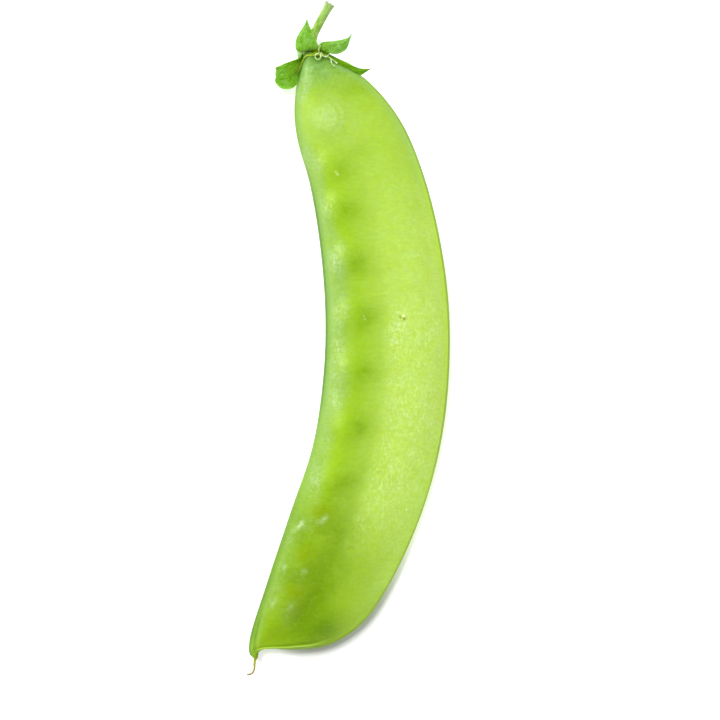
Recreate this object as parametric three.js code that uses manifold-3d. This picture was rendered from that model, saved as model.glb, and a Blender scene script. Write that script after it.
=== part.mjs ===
// A flat, unripe pea pod as picked, lying on one side: the pod with its beak, the cut stalk, the
// calyx cup with five sepals, the dried style and what is left of the stamens.
// Millimetres. +Y runs up the pod towards the stalk, +X from the seed-bearing seam to the back
// seam, +Z up from the surface that the pod lies on.

import * as THREE from "three";
import { mergeVertices } from "three/addons/utils/BufferGeometryUtils.js";
import Module from "manifold-3d";

// ---- Driving dimensions ----

// The two seams, from the neck to the beak. The peas hang from the hollow seed seam.
const SEED_SEAM = [
  [-9.2, 58.5], [-10.7, 52.0], [-11.2, 46.5], [-10.5, 40.5], [-8.1, 32.0], [-6.1, 20.4], [-4.9, 6.0],
  [-5.3, -7.5], [-7.5, -21.8], [-11.8, -34.7], [-16.9, -50.0], [-20.3, -61.2], [-20.3, -64.0],
  [-19.5, -64.9],
];
const BACK_SEAM = [
  [-4.3, 58.4], [-3.0, 57.0], [3.5, 53.1], [10.4, 44.9], [15.6, 32.5], [19.6, 14.3], [20.6, -1.0],
  [19.2, -18.6], [15.1, -34.7], [8.1, -50.2], [2.2, -58.3], [-4.6, -62.4], [-11.0, -63.2],
  [-17.6, -63.2], [-18.6, -64.0], [-19.0, -64.9],
];

// Half the pod's thickness at shares of its length.
const HALF_THICKNESS = [
  [0, 2.1], [0.05, 3.1], [0.12, 4.0], [0.22, 4.5], [0.4, 4.6], [0.7, 4.5], [0.82, 4.0], [0.9, 3.1],
  [0.96, 1.9], [0.985, 1.1], [1, 0.6],
];
const THIN_SEAMS = 1.25; // 1 gives an oval section, more gives sharper seams
const FULL_SEED_SIDE = 0.24; // how much fuller the section is on the seed side
const MIDDLE_HEIGHT = 4.3; // the pod's middle plane above the surface, at half length
const NECK_RISE = 1.0; // how much higher that plane is at the neck
const BEAK_RISE = 0.6; // and at the beak
const NECK_END = [-6.7, 58.9]; // the middle of the neck's domed end, and of the beak's
const BEAK_END = [-19.2, -65.0];

// The peas, as shares of the seed seam's length, and their swellings in the wall.
const PEAS = [0.105, 0.19, 0.255, 0.345, 0.43, 0.52, 0.615, 0.7, 0.77, 0.84, 0.91];
const PEA_ACROSS = 0.22; // their share of the way to the back seam
const PEA_SWELL = 0.5;
const PEA_REACH = 2.8;

const CUP_PLACE = [-6.7, 58.1, MIDDLE_HEIGHT + NECK_RISE];
const CUP_FLATNESS = 0.84; // its thickness as a share of its width, as the pod's neck is flat
const CUP_PROFILE = [
  [0, 1.5], [1.6, 1.25], [2.5, 0.6], [2.9, -0.2], [3.2, -0.2], [3.15, 0.5], [2.6, 1.4], [1.6, 2.0],
  [0, 2.2],
];

const STALK_PATH = [
  [-7.5, 60.75, 5.35], [-7.5, 61.6, 5.4], [-6.9, 63.2, 5.5], [-5.4, 65.8, 5.7], [-3.8, 68.6, 5.9],
];
const STALK_RADIUS = 0.82;
const STALK_FLARE = 0.14; // added at the cut end

const STYLE_PATH = [
  [-19.2, -65.3, 4.8], [-19.5, -66.3, 4.7], [-19.6, -67.6, 4.4], [-20.2, -68.3, 4.2], [-21.0, -68.4, 4.1],
];
const STYLE_RADIUS = 0.3;
const STYLE_TIP_RADIUS = 0.15;

const SEPAL_THICKNESS = 0.36;
const SEPAL_TIP_WIDTH = 0.12;
// Each sepal's middle line from cup to tip, its edge-to-edge direction at both ends, and half its
// width at equal steps from cup to tip.
const SEPALS = {
  sepal_upper_left: {
    path: [[-8.6, 58.7, 8.1], [-8.8, 60.2, 8.9], [-8.9, 62.4, 9.0], [-8.7, 64.2, 8.8], [-8.6, 65.5, 9.1]],
    across: [[0.88, 0, 0.4], [1, 0, 0.12]],
    widths: [1.5, 2.1, 1.75, 0.95, 0.06],
  },
  sepal_upper_right: {
    path: [[-4.9, 58.9, 8.1], [-4.1, 59.5, 8.6], [-2.6, 60.0, 8.8], [-1.0, 60.7, 8.7], [0.7, 62.5, 8.7]],
    across: [[0.77, -0.3, -0.5], [0.2, -0.75, -0.6]],
    widths: [1.3, 1.85, 1.9, 1.2, 0.06],
  },
  sepal_lower_left: {
    path: [
      [-10.4, 57.3, 4.6], [-11.6, 55.6, 5.1], [-12.9, 54.1, 5.2], [-14.0, 53.1, 4.6], [-14.4, 52.8, 3.4],
      [-13.4, 53.0, 2.9],
    ],
    across: [[0.5, -0.5, -0.4], [0.55, -0.75, -0.15]],
    widths: [0.9, 2.2, 2.8, 2.6, 1.7, 0.2],
  },
  sepal_lower_right: {
    path: [[-2.7, 58.4, 4.4], [-1.0, 57.4, 4.3], [0.9, 56.4, 4.2], [2.8, 55.5, 4.3], [4.5, 55.3, 4.7]],
    across: [[0.3, 0.2, 0.93], [0.2, 0.35, 0.9]],
    widths: [1.2, 1.8, 1.8, 1.1, 0.06],
  },
  sepal_under: {
    path: [[-7.0, 58.4, 2.0], [-8.0, 58.9, 1.3], [-8.6, 60.0, 0.9], [-8.8, 61.4, 0.9], [-8.4, 62.9, 1.2]],
    across: [[1, 0, 0], [1, 0.1, 0]],
    widths: [1.4, 2.0, 1.8, 1.1, 0.06],
  },
};

const FILAMENT_RADIUS = 0.15;
const FILAMENTS = {
  filament_upright: [[-6.05, 58.2, 8.35], [-6.15, 58.7, 8.9], [-6.1, 59.4, 9.4], [-5.9, 60.2, 9.6]],
  filament_loop: [
    [-6.5, 57.5, 8.55], [-6.9, 57.2, 8.6], [-7.0, 56.7, 8.7], [-6.5, 56.4, 8.8], [-6.1, 56.7, 8.7],
  ],
  filament_wavy: [[-5.4, 58.1, 8.3], [-5.1, 57.6, 8.4], [-4.6, 57.6, 8.3], [-4.2, 57.9, 8.2]],
  filament_hanging_left: [[-4.6, 57.1, 8.1], [-4.1, 56.8, 8.0], [-3.7, 56.3, 8.0], [-3.4, 55.7, 8.0]],
  filament_hanging_right: [[-3.6, 57.2, 7.7], [-3.1, 56.9, 7.7], [-2.8, 56.4, 7.7], [-2.3, 56.1, 7.7]],
  filament_under_left: [[-7.6, 57.4, 2.3], [-8.0, 56.9, 2.0], [-7.8, 56.3, 1.6], [-8.1, 55.7, 1.3]],
  filament_under_right: [[-5.3, 57.4, 2.3], [-4.9, 56.8, 1.9], [-5.1, 56.2, 1.6], [-4.6, 55.6, 1.3]],
};

const GREENS = {
  pod: 0xb9df63,
  stalk: 0x99be54,
  cup: 0x7fa838,
  sepal: 0x7dba48,
  style: 0xb0a94a,
  filament: 0xe3f0c4,
};

// ---- Helpers ----

const { lerp, clamp } = THREE.MathUtils;

const curve3 = (points) => new THREE.CatmullRomCurve3(points.map((p) => new THREE.Vector3(...p)));

// The value at a share of the way through a list of [share, value] pairs.
function valueAt(pairs, share) {
  const next = Math.max(1, pairs.findIndex(([at]) => at >= share));
  const [from, low] = pairs[next - 1];
  const [to, high] = pairs[next];
  return lerp(low, high, (share - from) / (to - from));
}

// A list of values at equal steps, as pairs for valueAt().
const evenly = (values) => values.map((value, i) => [i / (values.length - 1), value]);

const SAME_PLACE = 1e-4; // vertices closer than this are one

// One closed skin: only the positions stay, and equal ones are shared.
function closedSkin(geometry) {
  geometry.deleteAttribute("normal");
  geometry.deleteAttribute("uv");
  const skin = mergeVertices(geometry, SAME_PLACE);
  skin.computeVertexNormals();
  return skin;
}

// Moves each vertex of a geometry to where place(vertex, uv) says.
function remap(geometry, place) {
  const { position, uv } = geometry.attributes;
  for (let i = 0; i < position.count; i++) {
    const from = new THREE.Vector3().fromBufferAttribute(position, i);
    position.setXYZ(i, ...place(from, uv.getX(i), uv.getY(i)).toArray());
  }
  return closedSkin(geometry);
}

function piece(name, geometry, colour, roughness = 0.55) {
  const material = new THREE.MeshStandardMaterial({ color: colour, roughness, metalness: 0 });
  const mesh = new THREE.Mesh(geometry, material);
  mesh.name = name;
  return mesh;
}

const wasm = await Module();
wasm.setup();

function solidOf(geometry) {
  return new wasm.Manifold(new wasm.Mesh({
    numProp: 3,
    vertProperties: geometry.attributes.position.array,
    triVerts: new Uint32Array(geometry.index.array),
  }));
}

function geometryOf(solid) {
  const mesh = solid.getMesh();
  const geometry = new THREE.BufferGeometry();
  geometry.setAttribute("position", new THREE.BufferAttribute(mesh.vertProperties, 3));
  geometry.setIndex(new THREE.BufferAttribute(mesh.triVerts, 1));
  geometry.computeVertexNormals();
  return geometry;
}

// ---- The pod ----

const ROUND_STEPS = 26;
const LONG_STEPS = 52;
const END_CROWDING = 0.5; // closer rings at the neck and beak: 0 spaces them evenly
const SEAM_DIVISIONS = 1000; // how finely the seams' lengths are measured
const GROUND_WIDTH = 200; // the block that cuts the belly flat
const GROUND_DEPTH = 20;

const seedSeam = curve3(SEED_SEAM.map(([x, y]) => [x, y, 0]));
const backSeam = curve3(BACK_SEAM.map(([x, y]) => [x, y, 0]));
seedSeam.arcLengthDivisions = backSeam.arcLengthDivisions = SEAM_DIVISIONS;

const middleHeight = (along) => MIDDLE_HEIGHT + NECK_RISE * (1 - along) ** 8 + BEAK_RISE * along ** 6;

// How far the nearest peas push the wall out, at a point of the pod's outline.
function swelling(point) {
  return PEAS.reduce((sum, along) => {
    const pea = seedSeam.getPointAt(along).lerp(backSeam.getPointAt(along), PEA_ACROSS);
    return sum + PEA_SWELL * Math.exp(-pea.distanceToSquared(point) / PEA_REACH ** 2);
  }, 0);
}

// The wall at a share of the length, around the section from the seed seam over the upper side.
function podWall(along, around) {
  const across = (1 - Math.cos(around)) / 2;
  const side = Math.sin(around);
  const point = seedSeam.getPointAt(along).lerp(backSeam.getPointAt(along), across);
  const section = Math.abs(side) ** THIN_SEAMS * (1 + FULL_SEED_SIDE * (0.5 - across));
  const half = valueAt(HALF_THICKNESS, along) * section + swelling(point) * Math.abs(side);
  return point.setZ(middleHeight(along) + Math.sign(side) * half);
}

function podBody() {
  const neckEnd = new THREE.Vector3(...NECK_END, middleHeight(0));
  const beakEnd = new THREE.Vector3(...BEAK_END, middleHeight(1));
  const ball = new THREE.SphereGeometry(1, ROUND_STEPS, LONG_STEPS);
  const skin = remap(ball, (from, u, v) => {
    const ring = Math.round((1 - v) * LONG_STEPS);
    if (ring === 0) return neckEnd.clone();
    if (ring === LONG_STEPS) return beakEnd.clone();
    const even = (ring - 1) / (LONG_STEPS - 2);
    const along = even - (END_CROWDING * Math.sin(2 * Math.PI * even)) / (2 * Math.PI);
    return podWall(clamp(along, 0, 1), 2 * Math.PI * u);
  });
  // The belly is flat where it rests.
  const below = new THREE.BoxGeometry(GROUND_WIDTH, GROUND_WIDTH, GROUND_DEPTH)
    .translate(0, 0, -GROUND_DEPTH / 2);
  return geometryOf(solidOf(skin).subtract(solidOf(closedSkin(below))));
}

// ---- Stalk, style and filaments ----

// A round rod along a path, with its radius given at each share of the length.
function rod(path, radiusAt, sides, steps) {
  const curve = curve3(path);
  const frames = curve.computeFrenetFrames(steps, false);
  const blank = new THREE.CylinderGeometry(1, 1, 1, sides, steps);
  return remap(blank, (from) => {
    const step = Math.round((from.y + 0.5) * steps);
    const radius = radiusAt(step / steps);
    return curve.getPointAt(step / steps)
      .addScaledVector(frames.binormals[step], from.x * radius)
      .addScaledVector(frames.normals[step], from.z * radius);
  });
}

const stalk = () => rod(STALK_PATH, (along) => STALK_RADIUS + STALK_FLARE * along ** 6, 12, 10);
const style = () => rod(STYLE_PATH, (along) => lerp(STYLE_RADIUS, STYLE_TIP_RADIUS, along), 8, 12);
const filament = (path) => rod(path, () => FILAMENT_RADIUS, 6, 10);

// ---- Calyx ----

function calyxCup() {
  const profile = CUP_PROFILE.map(([radius, height]) => new THREE.Vector2(radius, height));
  const cup = closedSkin(new THREE.LatheGeometry(profile, 24));
  return cup.scale(1, 1, CUP_FLATNESS).translate(...CUP_PLACE);
}

// A leaf-like blade: a slab bent along its middle line, thinner towards both edges.
function sepal({ path, across, widths }) {
  const line = curve3(path);
  const [rootAcross, tipAcross] = across.map((a) => new THREE.Vector3(...a));
  const slab = new THREE.BoxGeometry(1, 1, 1, 6, 12, 1);
  return remap(slab, (from) => {
    const along = from.y + 0.5;
    const forward = line.getTangentAt(along);
    const sideways = rootAcross.clone().lerp(tipAcross, along);
    sideways.addScaledVector(forward, -sideways.dot(forward)).normalize();
    const outward = new THREE.Vector3().crossVectors(sideways, forward);
    const width = Math.max(2 * valueAt(evenly(widths), along), SEPAL_TIP_WIDTH);
    const thickness = SEPAL_THICKNESS * (1 - 2 * from.x ** 2);
    return line.getPointAt(along)
      .addScaledVector(sideways, from.x * width)
      .addScaledVector(outward, from.z * thickness);
  });
}

// ---- The whole pod, with its origin under the middle of its box ----

const pieces = [
  piece("pod", podBody(), GREENS.pod, 0.45),
  piece("pedicel", stalk(), GREENS.stalk),
  piece("calyx_cup", calyxCup(), GREENS.cup),
  ...Object.entries(SEPALS).map(([name, shape]) => piece(name, sepal(shape), GREENS.sepal)),
  piece("style", style(), GREENS.style, 0.7),
  ...Object.entries(FILAMENTS).map(([name, path]) => piece(name, filament(path), GREENS.filament, 0.7)),
];

const lying = new THREE.Group().add(...pieces);
const box = new THREE.Box3().setFromObject(lying);
const middle = box.getCenter(new THREE.Vector3());
lying.position.set(-middle.x, -middle.y, -box.min.z);

const group = new THREE.Group().add(lying);
export default group;
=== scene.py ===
# %% [markdown]
# # A pea pod on a white table
#
# The object is one flat, still unripe pea pod, as picked: two green walls grown together along two
# seams, a beak with the dried style at one end, and at the other the calyx with its five sepals, a
# few dried stamen threads and the cut stalk. It lies on one side and the camera looks straight
# down on it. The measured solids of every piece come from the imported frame. Each step below puts
# a finished piece where its solid is.

# %% The frame, and what the other cells share
import math

import bpy
import numpy as np
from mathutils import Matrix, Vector


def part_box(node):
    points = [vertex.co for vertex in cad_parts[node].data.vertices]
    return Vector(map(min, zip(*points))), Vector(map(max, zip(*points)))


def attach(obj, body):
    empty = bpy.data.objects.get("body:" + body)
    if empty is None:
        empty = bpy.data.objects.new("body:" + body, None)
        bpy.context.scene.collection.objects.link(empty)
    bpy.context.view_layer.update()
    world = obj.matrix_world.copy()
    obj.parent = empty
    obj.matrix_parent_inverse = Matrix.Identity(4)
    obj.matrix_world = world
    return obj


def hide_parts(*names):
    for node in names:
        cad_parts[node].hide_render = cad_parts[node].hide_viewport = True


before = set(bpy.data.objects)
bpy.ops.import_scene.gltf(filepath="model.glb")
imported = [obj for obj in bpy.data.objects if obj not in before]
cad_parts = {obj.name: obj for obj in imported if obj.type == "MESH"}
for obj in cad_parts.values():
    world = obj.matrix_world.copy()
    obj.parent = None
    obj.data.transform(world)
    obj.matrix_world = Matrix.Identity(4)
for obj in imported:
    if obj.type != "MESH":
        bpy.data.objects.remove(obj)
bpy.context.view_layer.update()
MM = 0.001
collection = bpy.context.scene.collection

# %% [markdown]
# ## Table, light and camera
#
# The pod is shown on a white table in a bright room. A table could be a thin box, but a plain disc
# that runs far past every view is enough, because nothing is ever seen below it. One large soft
# light stands to the upper left, so the shadows are short and fall to the lower right, and the
# white surroundings light the rest. Near the pod the table itself glows, most beside the stalk end
# and on the seed seam's side of the beak: painted light that fades the shadows there. The camera
# hangs straight above the pod.

# %% Small tools for materials


def linear(red, green, blue):
    """A colour as the eye names it, 0 to 255, in the renderer's linear numbers."""
    parts = [c / 255 for c in (red, green, blue)]
    return [c / 12.92 if c <= 0.04045 else ((c + 0.055) / 1.055) ** 2.4 for c in parts] + [1]


class Paint:
    """A material that is put together node by node. Each step gives back the socket it made."""

    def __init__(self, name):
        self.material = bpy.data.materials.new(name)
        self.material.use_nodes = True
        self.tree = self.material.node_tree
        self.shader = self.tree.nodes["Principled BSDF"]

    def feed(self, socket, value):
        """Puts a value, or the output of another step, into a socket."""
        if isinstance(value, bpy.types.NodeSocket):
            self.tree.links.new(value, socket)
        else:
            socket.default_value = value

    def finish(self, **values):
        """Fills the surface shader's sockets; spaces in their names are written as underscores."""
        for name, value in values.items():
            self.feed(self.shader.inputs[name.replace("_", " ")], value)
        return self.material

    def place(self):
        """Where a point is, in metres."""
        return self.tree.nodes.new("ShaderNodeTexCoord").outputs["Object"]

    def stored(self, name):
        """A number that the mesh stores for each of its points."""
        node = self.tree.nodes.new("ShaderNodeAttribute")
        node.attribute_name = name
        return node.outputs["Fac"]

    def maths(self, operation, first, second=0.0):
        """One operation on one or two numbers."""
        node = self.tree.nodes.new("ShaderNodeMath")
        node.operation = operation
        for socket, value in zip(node.inputs, (first, second)):
            self.feed(socket, value)
        return node.outputs[0]

    def times(self, first, *others):
        """Two or more numbers multiplied."""
        for other in others:
            first = self.maths("MULTIPLY", first, other)
        return first

    def stretched(self, vector, scale, turn=0.0):
        """The same place with each axis scaled, for patterns that are longer one way."""
        node = self.tree.nodes.new("ShaderNodeMapping")
        self.feed(node.inputs["Vector"], vector)
        node.inputs["Rotation"].default_value = (0, 0, turn)
        node.inputs["Scale"].default_value = scale
        return node.outputs[0]

    def noise(self, vector, size, detail=2.0, roughness=0.5, distortion=0.0):
        """Cloudy noise, about 0.5 on average, with clouds of this size in metres."""
        node = self.tree.nodes.new("ShaderNodeTexNoise")
        self.feed(node.inputs["Vector"], vector)
        for name, value in (("Scale", 1 / size), ("Detail", detail), ("Roughness", roughness)):
            node.inputs[name].default_value = value
        node.inputs["Distortion"].default_value = distortion
        return node.outputs["Fac"]

    def combined(self, x, y, z):
        """Three numbers as one vector."""
        node = self.tree.nodes.new("ShaderNodeCombineXYZ")
        for socket, value in zip(node.inputs, (x, y, z)):
            self.feed(socket, value)
        return node.outputs[0]

    def shifted(self, vector, size, amount):
        """The same place pushed about by noise, so that a pattern on it isn't straight."""
        node = self.tree.nodes.new("ShaderNodeTexNoise")
        self.feed(node.inputs["Vector"], vector)
        node.inputs["Scale"].default_value = 1 / size
        push = self.vector("SUBTRACT", node.outputs["Color"], (0.5, 0.5, 0.5))
        return self.vector("ADD", vector, self.vector("SCALE", push, scale=2 * amount))

    def vector(self, operation, first, second=(0, 0, 0), scale=1.0):
        """One operation on one or two vectors."""
        node = self.tree.nodes.new("ShaderNodeVectorMath")
        node.operation = operation
        self.feed(node.inputs[0], first)
        self.feed(node.inputs[1], second)
        node.inputs[3].default_value = scale
        return node.outputs["Value" if operation in ("DOT_PRODUCT", "DISTANCE") else "Vector"]

    def cells(self, vector, size, feature="F1"):
        """Distance to the nearest cell centre or cell wall, in cells of this size in metres."""
        node = self.tree.nodes.new("ShaderNodeTexVoronoi")
        node.feature = feature
        self.feed(node.inputs["Vector"], vector)
        node.inputs["Scale"].default_value = 1 / size
        return node.outputs["Distance"]

    def spread(self, value, low, high, to_low=0.0, to_high=1.0):
        """Maps low..high softly onto to_low..to_high."""
        node = self.tree.nodes.new("ShaderNodeMapRange")
        node.interpolation_type = "SMOOTHSTEP"
        for socket, number in zip(node.inputs, (value, low, high, to_low, to_high)):
            self.feed(socket, number)
        return node.outputs[0]

    def ramp(self, value, stops):
        """A colour for each value: stops are (position, (red, green, blue))."""
        node = self.tree.nodes.new("ShaderNodeValToRGB")
        self.feed(node.inputs[0], value)
        elements = node.color_ramp.elements
        while len(elements) < len(stops):
            elements.new(0.5)
        for element, (position, colour) in zip(elements, stops):
            element.position, element.color = position, linear(*colour)
        return node.outputs[0]

    def mix(self, share, first, second, blend="MIX"):
        """Two colours mixed: share 0 is the first, 1 the second."""
        node = self.tree.nodes.new("ShaderNodeMix")
        node.data_type, node.blend_type = "RGBA", blend
        self.feed(node.inputs["Factor"], share)
        self.feed(node.inputs[6], first)
        self.feed(node.inputs[7], second)
        return node.outputs[2]

    def cover(self, colour, share, green, blend="MIX"):
        """The colour so far, with another one laid over a share of it."""
        return self.mix(share, colour, linear(*green), blend)

    def bump(self, height, depth, below=None):
        """Fine relief from a height, where a height of 1 stands depth metres out."""
        node = self.tree.nodes.new("ShaderNodeBump")
        node.inputs["Distance"].default_value = depth
        self.feed(node.inputs["Height"], height)
        if below is not None:
            self.feed(node.inputs["Normal"], below)
        return node.outputs[0]


# %% The table
TABLE_RADIUS = 4.0
TABLE_WHITE = (246, 246, 247)
# The table's glow is painted light: it lifts the shadows on the table beside the stalk end and the beak.
TABLE_GLOW = (0.0, 0.46)  # beside the beak end and beside the stalk end
BEAK_GLOW = 0.3  # on the seed seam's side of the beak
GLOW_CHANGES = (-57.5 * MM, -37 * MM)
BEAK_GLOW_CHANGES = (-17 * MM, -7 * MM)
GLOW_ENDS = (110 * MM, 260 * MM)  # how far out it fades

bpy.ops.mesh.primitive_circle_add(vertices=96, radius=TABLE_RADIUS, fill_type="NGON")
table = bpy.context.object
table.name = "table"
paint = Paint("white_table")
up_the_pod = paint.vector("DOT_PRODUCT", paint.place(), (0, 1, 0))
near_pod = paint.spread(paint.vector("DISTANCE", paint.place(), (0, 0, 0)), *GLOW_ENDS, 1.0, 0.0)
to_the_back = paint.vector("DOT_PRODUCT", paint.place(), (1, 0, 0))
shadow_clearing_glow = paint.maths(
    "MAXIMUM", paint.spread(up_the_pod, *GLOW_CHANGES, *TABLE_GLOW),
    paint.spread(to_the_back, *BEAK_GLOW_CHANGES, BEAK_GLOW, 0.0),
)
paint.finish(
    Base_Color=linear(*TABLE_WHITE), Roughness=0.9, Specular_IOR_Level=0.1, Emission_Color=(1, 1, 1, 1),
    Emission_Strength=paint.times(near_pod, shadow_clearing_glow),
)
table.data.materials.append(paint.material)

# %% Surroundings and lamps
ROOM_STRENGTH = 0.34
LAMPS = {  # where from, distance and size in metres, watts, whether it shows as a glint
    "key_light": (Vector((-0.19, 0.28, 1.0)), 0.9, 0.23, 6.8, False),
    "fill_light": (Vector((0.8, 0.5, 0.9)), 0.8, 0.6, 1.2, False),
    "sheen_light": (Vector((-1.9, 0.75, 1.0)), 0.7, 0.16, 1.9, True),
}

world = bpy.data.worlds.new("white_room")
world.use_nodes = True
world.node_tree.nodes["Background"].inputs["Color"].default_value = (1, 1, 1, 1)
world.node_tree.nodes["Background"].inputs["Strength"].default_value = ROOM_STRENGTH
bpy.context.scene.world = world


def lamp(name, direction, distance, size, watts, glints):
    """A square soft light that points at the middle of the pod."""
    data = bpy.data.lights.new(name, "AREA")
    data.size, data.energy = size, watts
    holder = bpy.data.objects.new(name, data)
    holder.location = direction.normalized() * distance
    holder.rotation_euler = (-direction).to_track_quat("-Z", "Y").to_euler()
    holder.visible_glossy = glints
    collection.objects.link(holder)


for name, values in LAMPS.items():
    lamp(name, *values)

# %% The camera
LENS = 100
SENSOR = 36
VIEW_WIDTH = 147 * MM  # what the camera takes in at the pod's middle height
CAMERA_AIM = Vector((2.45 * MM, -4.37 * MM, 4.4 * MM))
CAMERA_RANGE = (0.01, 20)  # the nearest and the farthest thing that it shows, in metres

camera_data = bpy.data.cameras.new("camera")
camera_data.lens, camera_data.sensor_width = LENS, SENSOR
camera = bpy.data.objects.new("camera", camera_data)
camera.location = CAMERA_AIM + Vector((0, 0, VIEW_WIDTH * LENS / SENSOR))
camera_data.clip_start, camera_data.clip_end = CAMERA_RANGE
collection.objects.link(camera)
bpy.context.scene.camera = camera
bpy.context.scene.view_settings.view_transform = "Standard"
print("the camera hangs", round(camera.location.z, 3), "m above the table")

# %% [markdown]
# ## The outline of the pod
#
# A pea pod has two seams. The hollow one carries the peas, the round one is its back, and both
# run from the neck to the beak. The outline could be a flat drawing that is blown up, but then
# nothing would know how far along or across a point is. So each seam is a smooth curve through a
# few points, and the wall is stretched between the two: every point of the skin keeps its share
# along the pod and its share across it, and the shape and the colours both use them.

# %% Smooth curves through a few points
CURVE_STEPS = 60


def smooth_curve(points):
    """A dense line through the points (a centripetal Catmull-Rom curve)."""
    points = np.array(points, float)
    longer = np.vstack([2 * points[0] - points[1], points, 2 * points[-1] - points[-2]])
    line = []
    for a, b, c, d in zip(longer, longer[1:], longer[2:], longer[3:]):
        t1 = np.linalg.norm(b - a) ** 0.5
        t2 = t1 + np.linalg.norm(c - b) ** 0.5
        t3 = t2 + np.linalg.norm(d - c) ** 0.5
        t = np.linspace(t1, t2, CURVE_STEPS, endpoint=False)[:, None]
        a1 = (t1 - t) / t1 * a + t / t1 * b
        a2 = (t2 - t) / (t2 - t1) * b + (t - t1) / (t2 - t1) * c
        a3 = (t3 - t) / (t3 - t2) * c + (t - t2) / (t3 - t2) * d
        b1 = (t2 - t) / t2 * a1 + t / t2 * a2
        b2 = (t3 - t) / (t3 - t1) * a2 + (t - t1) / (t3 - t1) * a3
        line.append((t2 - t) / (t2 - t1) * b1 + (t - t1) / (t2 - t1) * b2)
    return np.vstack([*line, points[-1:]])


def at_shares(line, shares):
    """The points at these shares of a line's length."""
    steps = np.linalg.norm(np.diff(line, axis=0), axis=1)
    run = np.concatenate([[0], np.cumsum(steps)]) / steps.sum()
    return np.stack([np.interp(shares, run, line[:, k]) for k in range(line.shape[1])], -1)


# %% The two seams, fitted to the pod's solid
SEED_SEAM = [
    (-9.2, 58.5), (-10.7, 52.0), (-11.2, 46.5), (-10.5, 40.5), (-8.1, 32.0), (-6.1, 20.4), (-4.9, 6.0),
    (-5.3, -7.5), (-7.5, -21.8), (-11.8, -34.7), (-16.9, -50.0), (-20.3, -61.2), (-20.3, -64.0),
    (-19.5, -64.9),
]
BACK_SEAM = [
    (-4.3, 58.4), (-3.0, 57.0), (3.5, 53.1), (10.4, 44.9), (15.6, 32.5), (19.6, 14.3), (20.6, -1.0),
    (19.2, -18.6), (15.1, -34.7), (8.1, -50.2), (2.2, -58.3), (-4.6, -62.4), (-11.0, -63.2),
    (-17.6, -63.2), (-18.6, -64.0), (-19.0, -64.9),
]

NECK_END = (-6.7, 58.9)
BEAK_END = (-19.2, -65.0)

pod_low, pod_high = (np.array(corner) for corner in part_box("pod"))
seams = [smooth_curve(points) for points in (SEED_SEAM, BACK_SEAM)]
drawn = np.vstack([*seams, [NECK_END, BEAK_END]])
drawn_low, drawn_high = drawn.min(0), drawn.max(0)


def onto_solid(points):
    """Moves and scales drawn points, in millimetres, so that the outline's box is the solid's box."""
    placed = np.array(points, float)
    share = (placed[..., :2] - drawn_low) / (drawn_high - drawn_low)
    placed[..., :2] = (pod_low[:2] + share * (pod_high - pod_low)[:2]) / MM
    return placed


seed_seam, back_seam = (onto_solid(line) for line in seams)
for name, line in (("seed seam", seed_seam), ("back seam", back_seam)):
    print("the", name, "is", round(np.linalg.norm(np.diff(line, axis=0), axis=1).sum()), "mm long")

# %% [markdown]
# ## The skin of the pod
#
# The walls bulge from seam to seam like two shallow bowls. They are fullest where the peas are,
# hollow a little beside them, and swell again towards the back. A sphere pushed into shape could
# do for a toy, but seams, beak and rim need to be placed to a tenth of a millimetre. So the skin
# is a fine net: rings from neck to beak, each one going from the seed seam over the upper wall to
# the back seam and under the lower wall back again.

# %% Shares along and across the net
RINGS = 330
WALL_STEPS = 118
EDGE_CROWDING = 0.5  # 0 spaces the lines of the net evenly, 1 crowds them at the seams
END_CROWDING = 0.35  # the same for the rings at the neck and the beak


def crowded(count, strength):
    """Shares from 0 to 1 that lie closer together at both ends."""
    even = np.linspace(0, 1, count)
    return (1 - strength) * even + strength * (1 - np.cos(np.pi * even)) / 2


wall = crowded(WALL_STEPS + 1, EDGE_CROWDING)
across = np.concatenate([wall, wall[-2:0:-1]])
side = np.concatenate([np.ones(WALL_STEPS + 1), -np.ones(WALL_STEPS - 1)])
side[[0, WALL_STEPS]] = 0
along = crowded(RINGS, END_CROWDING)
ALONG, ACROSS = np.meshgrid(along, across, indexing="ij")
SIDE = np.broadcast_to(side, ALONG.shape)

seed_points = at_shares(seed_seam, along)[:, None, :]
back_points = at_shares(back_seam, along)[:, None, :]
PLAN = seed_points * (1 - ACROSS[..., None]) + back_points * ACROSS[..., None]
CHORD = np.linalg.norm(back_points - seed_points, axis=-1) * np.ones_like(ALONG)
FROM_SEED = ACROSS * CHORD  # millimetres from the seed seam
FROM_BACK = (1 - ACROSS) * CHORD
print("the widest chord is", round(float(CHORD.max()), 1), "mm")

# %% Humps, ramps and short tables
TABLE_STEPS = 401
ROUNDING = 40


def hump(value, centre, width):
    """1 at the centre, fading to nothing a few widths away."""
    return np.exp(-(((value - centre) / width) ** 2))


def ramp(value, start, end):
    """0 before start, 1 after end, with a soft turn at both."""
    t = np.clip((value - start) / (end - start), 0, 1)
    return t * t * (3 - 2 * t)


def smooth_table(pairs, shares):
    """Values at shares of the length, from a short table, with the corners rounded off."""
    xs, ys = np.array(pairs).T
    fine = np.linspace(0, 1, TABLE_STEPS)
    values = np.interp(fine, xs, ys)
    for _ in range(ROUNDING):
        values[1:-1] = (values[:-2] + 2 * values[1:-1] + values[2:]) / 4
    return np.interp(shares, fine, values)


# %% How far each wall stands out from the middle plane
HALF_THICKNESS = [  # share of the way from neck to beak, and millimetres
    (0, 2.1), (0.05, 3.1), (0.12, 4.0), (0.22, 4.5), (0.4, 4.6), (0.7, 4.5), (0.82, 4.0), (0.9, 3.1),
    (0.96, 1.9), (0.985, 1.1), (1, 0.6),
]
FULLNESS = [  # share of the way across, and how much more or less than an oval
    (0, 1.05), (0.12, 1.13), (0.24, 1.13), (0.34, 1.03), (0.48, 0.9), (0.62, 0.87), (0.8, 0.92), (1, 0.95),
]
THIN_SEAMS = 0.62  # 0.5 gives an oval section, more gives sharper seams

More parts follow.
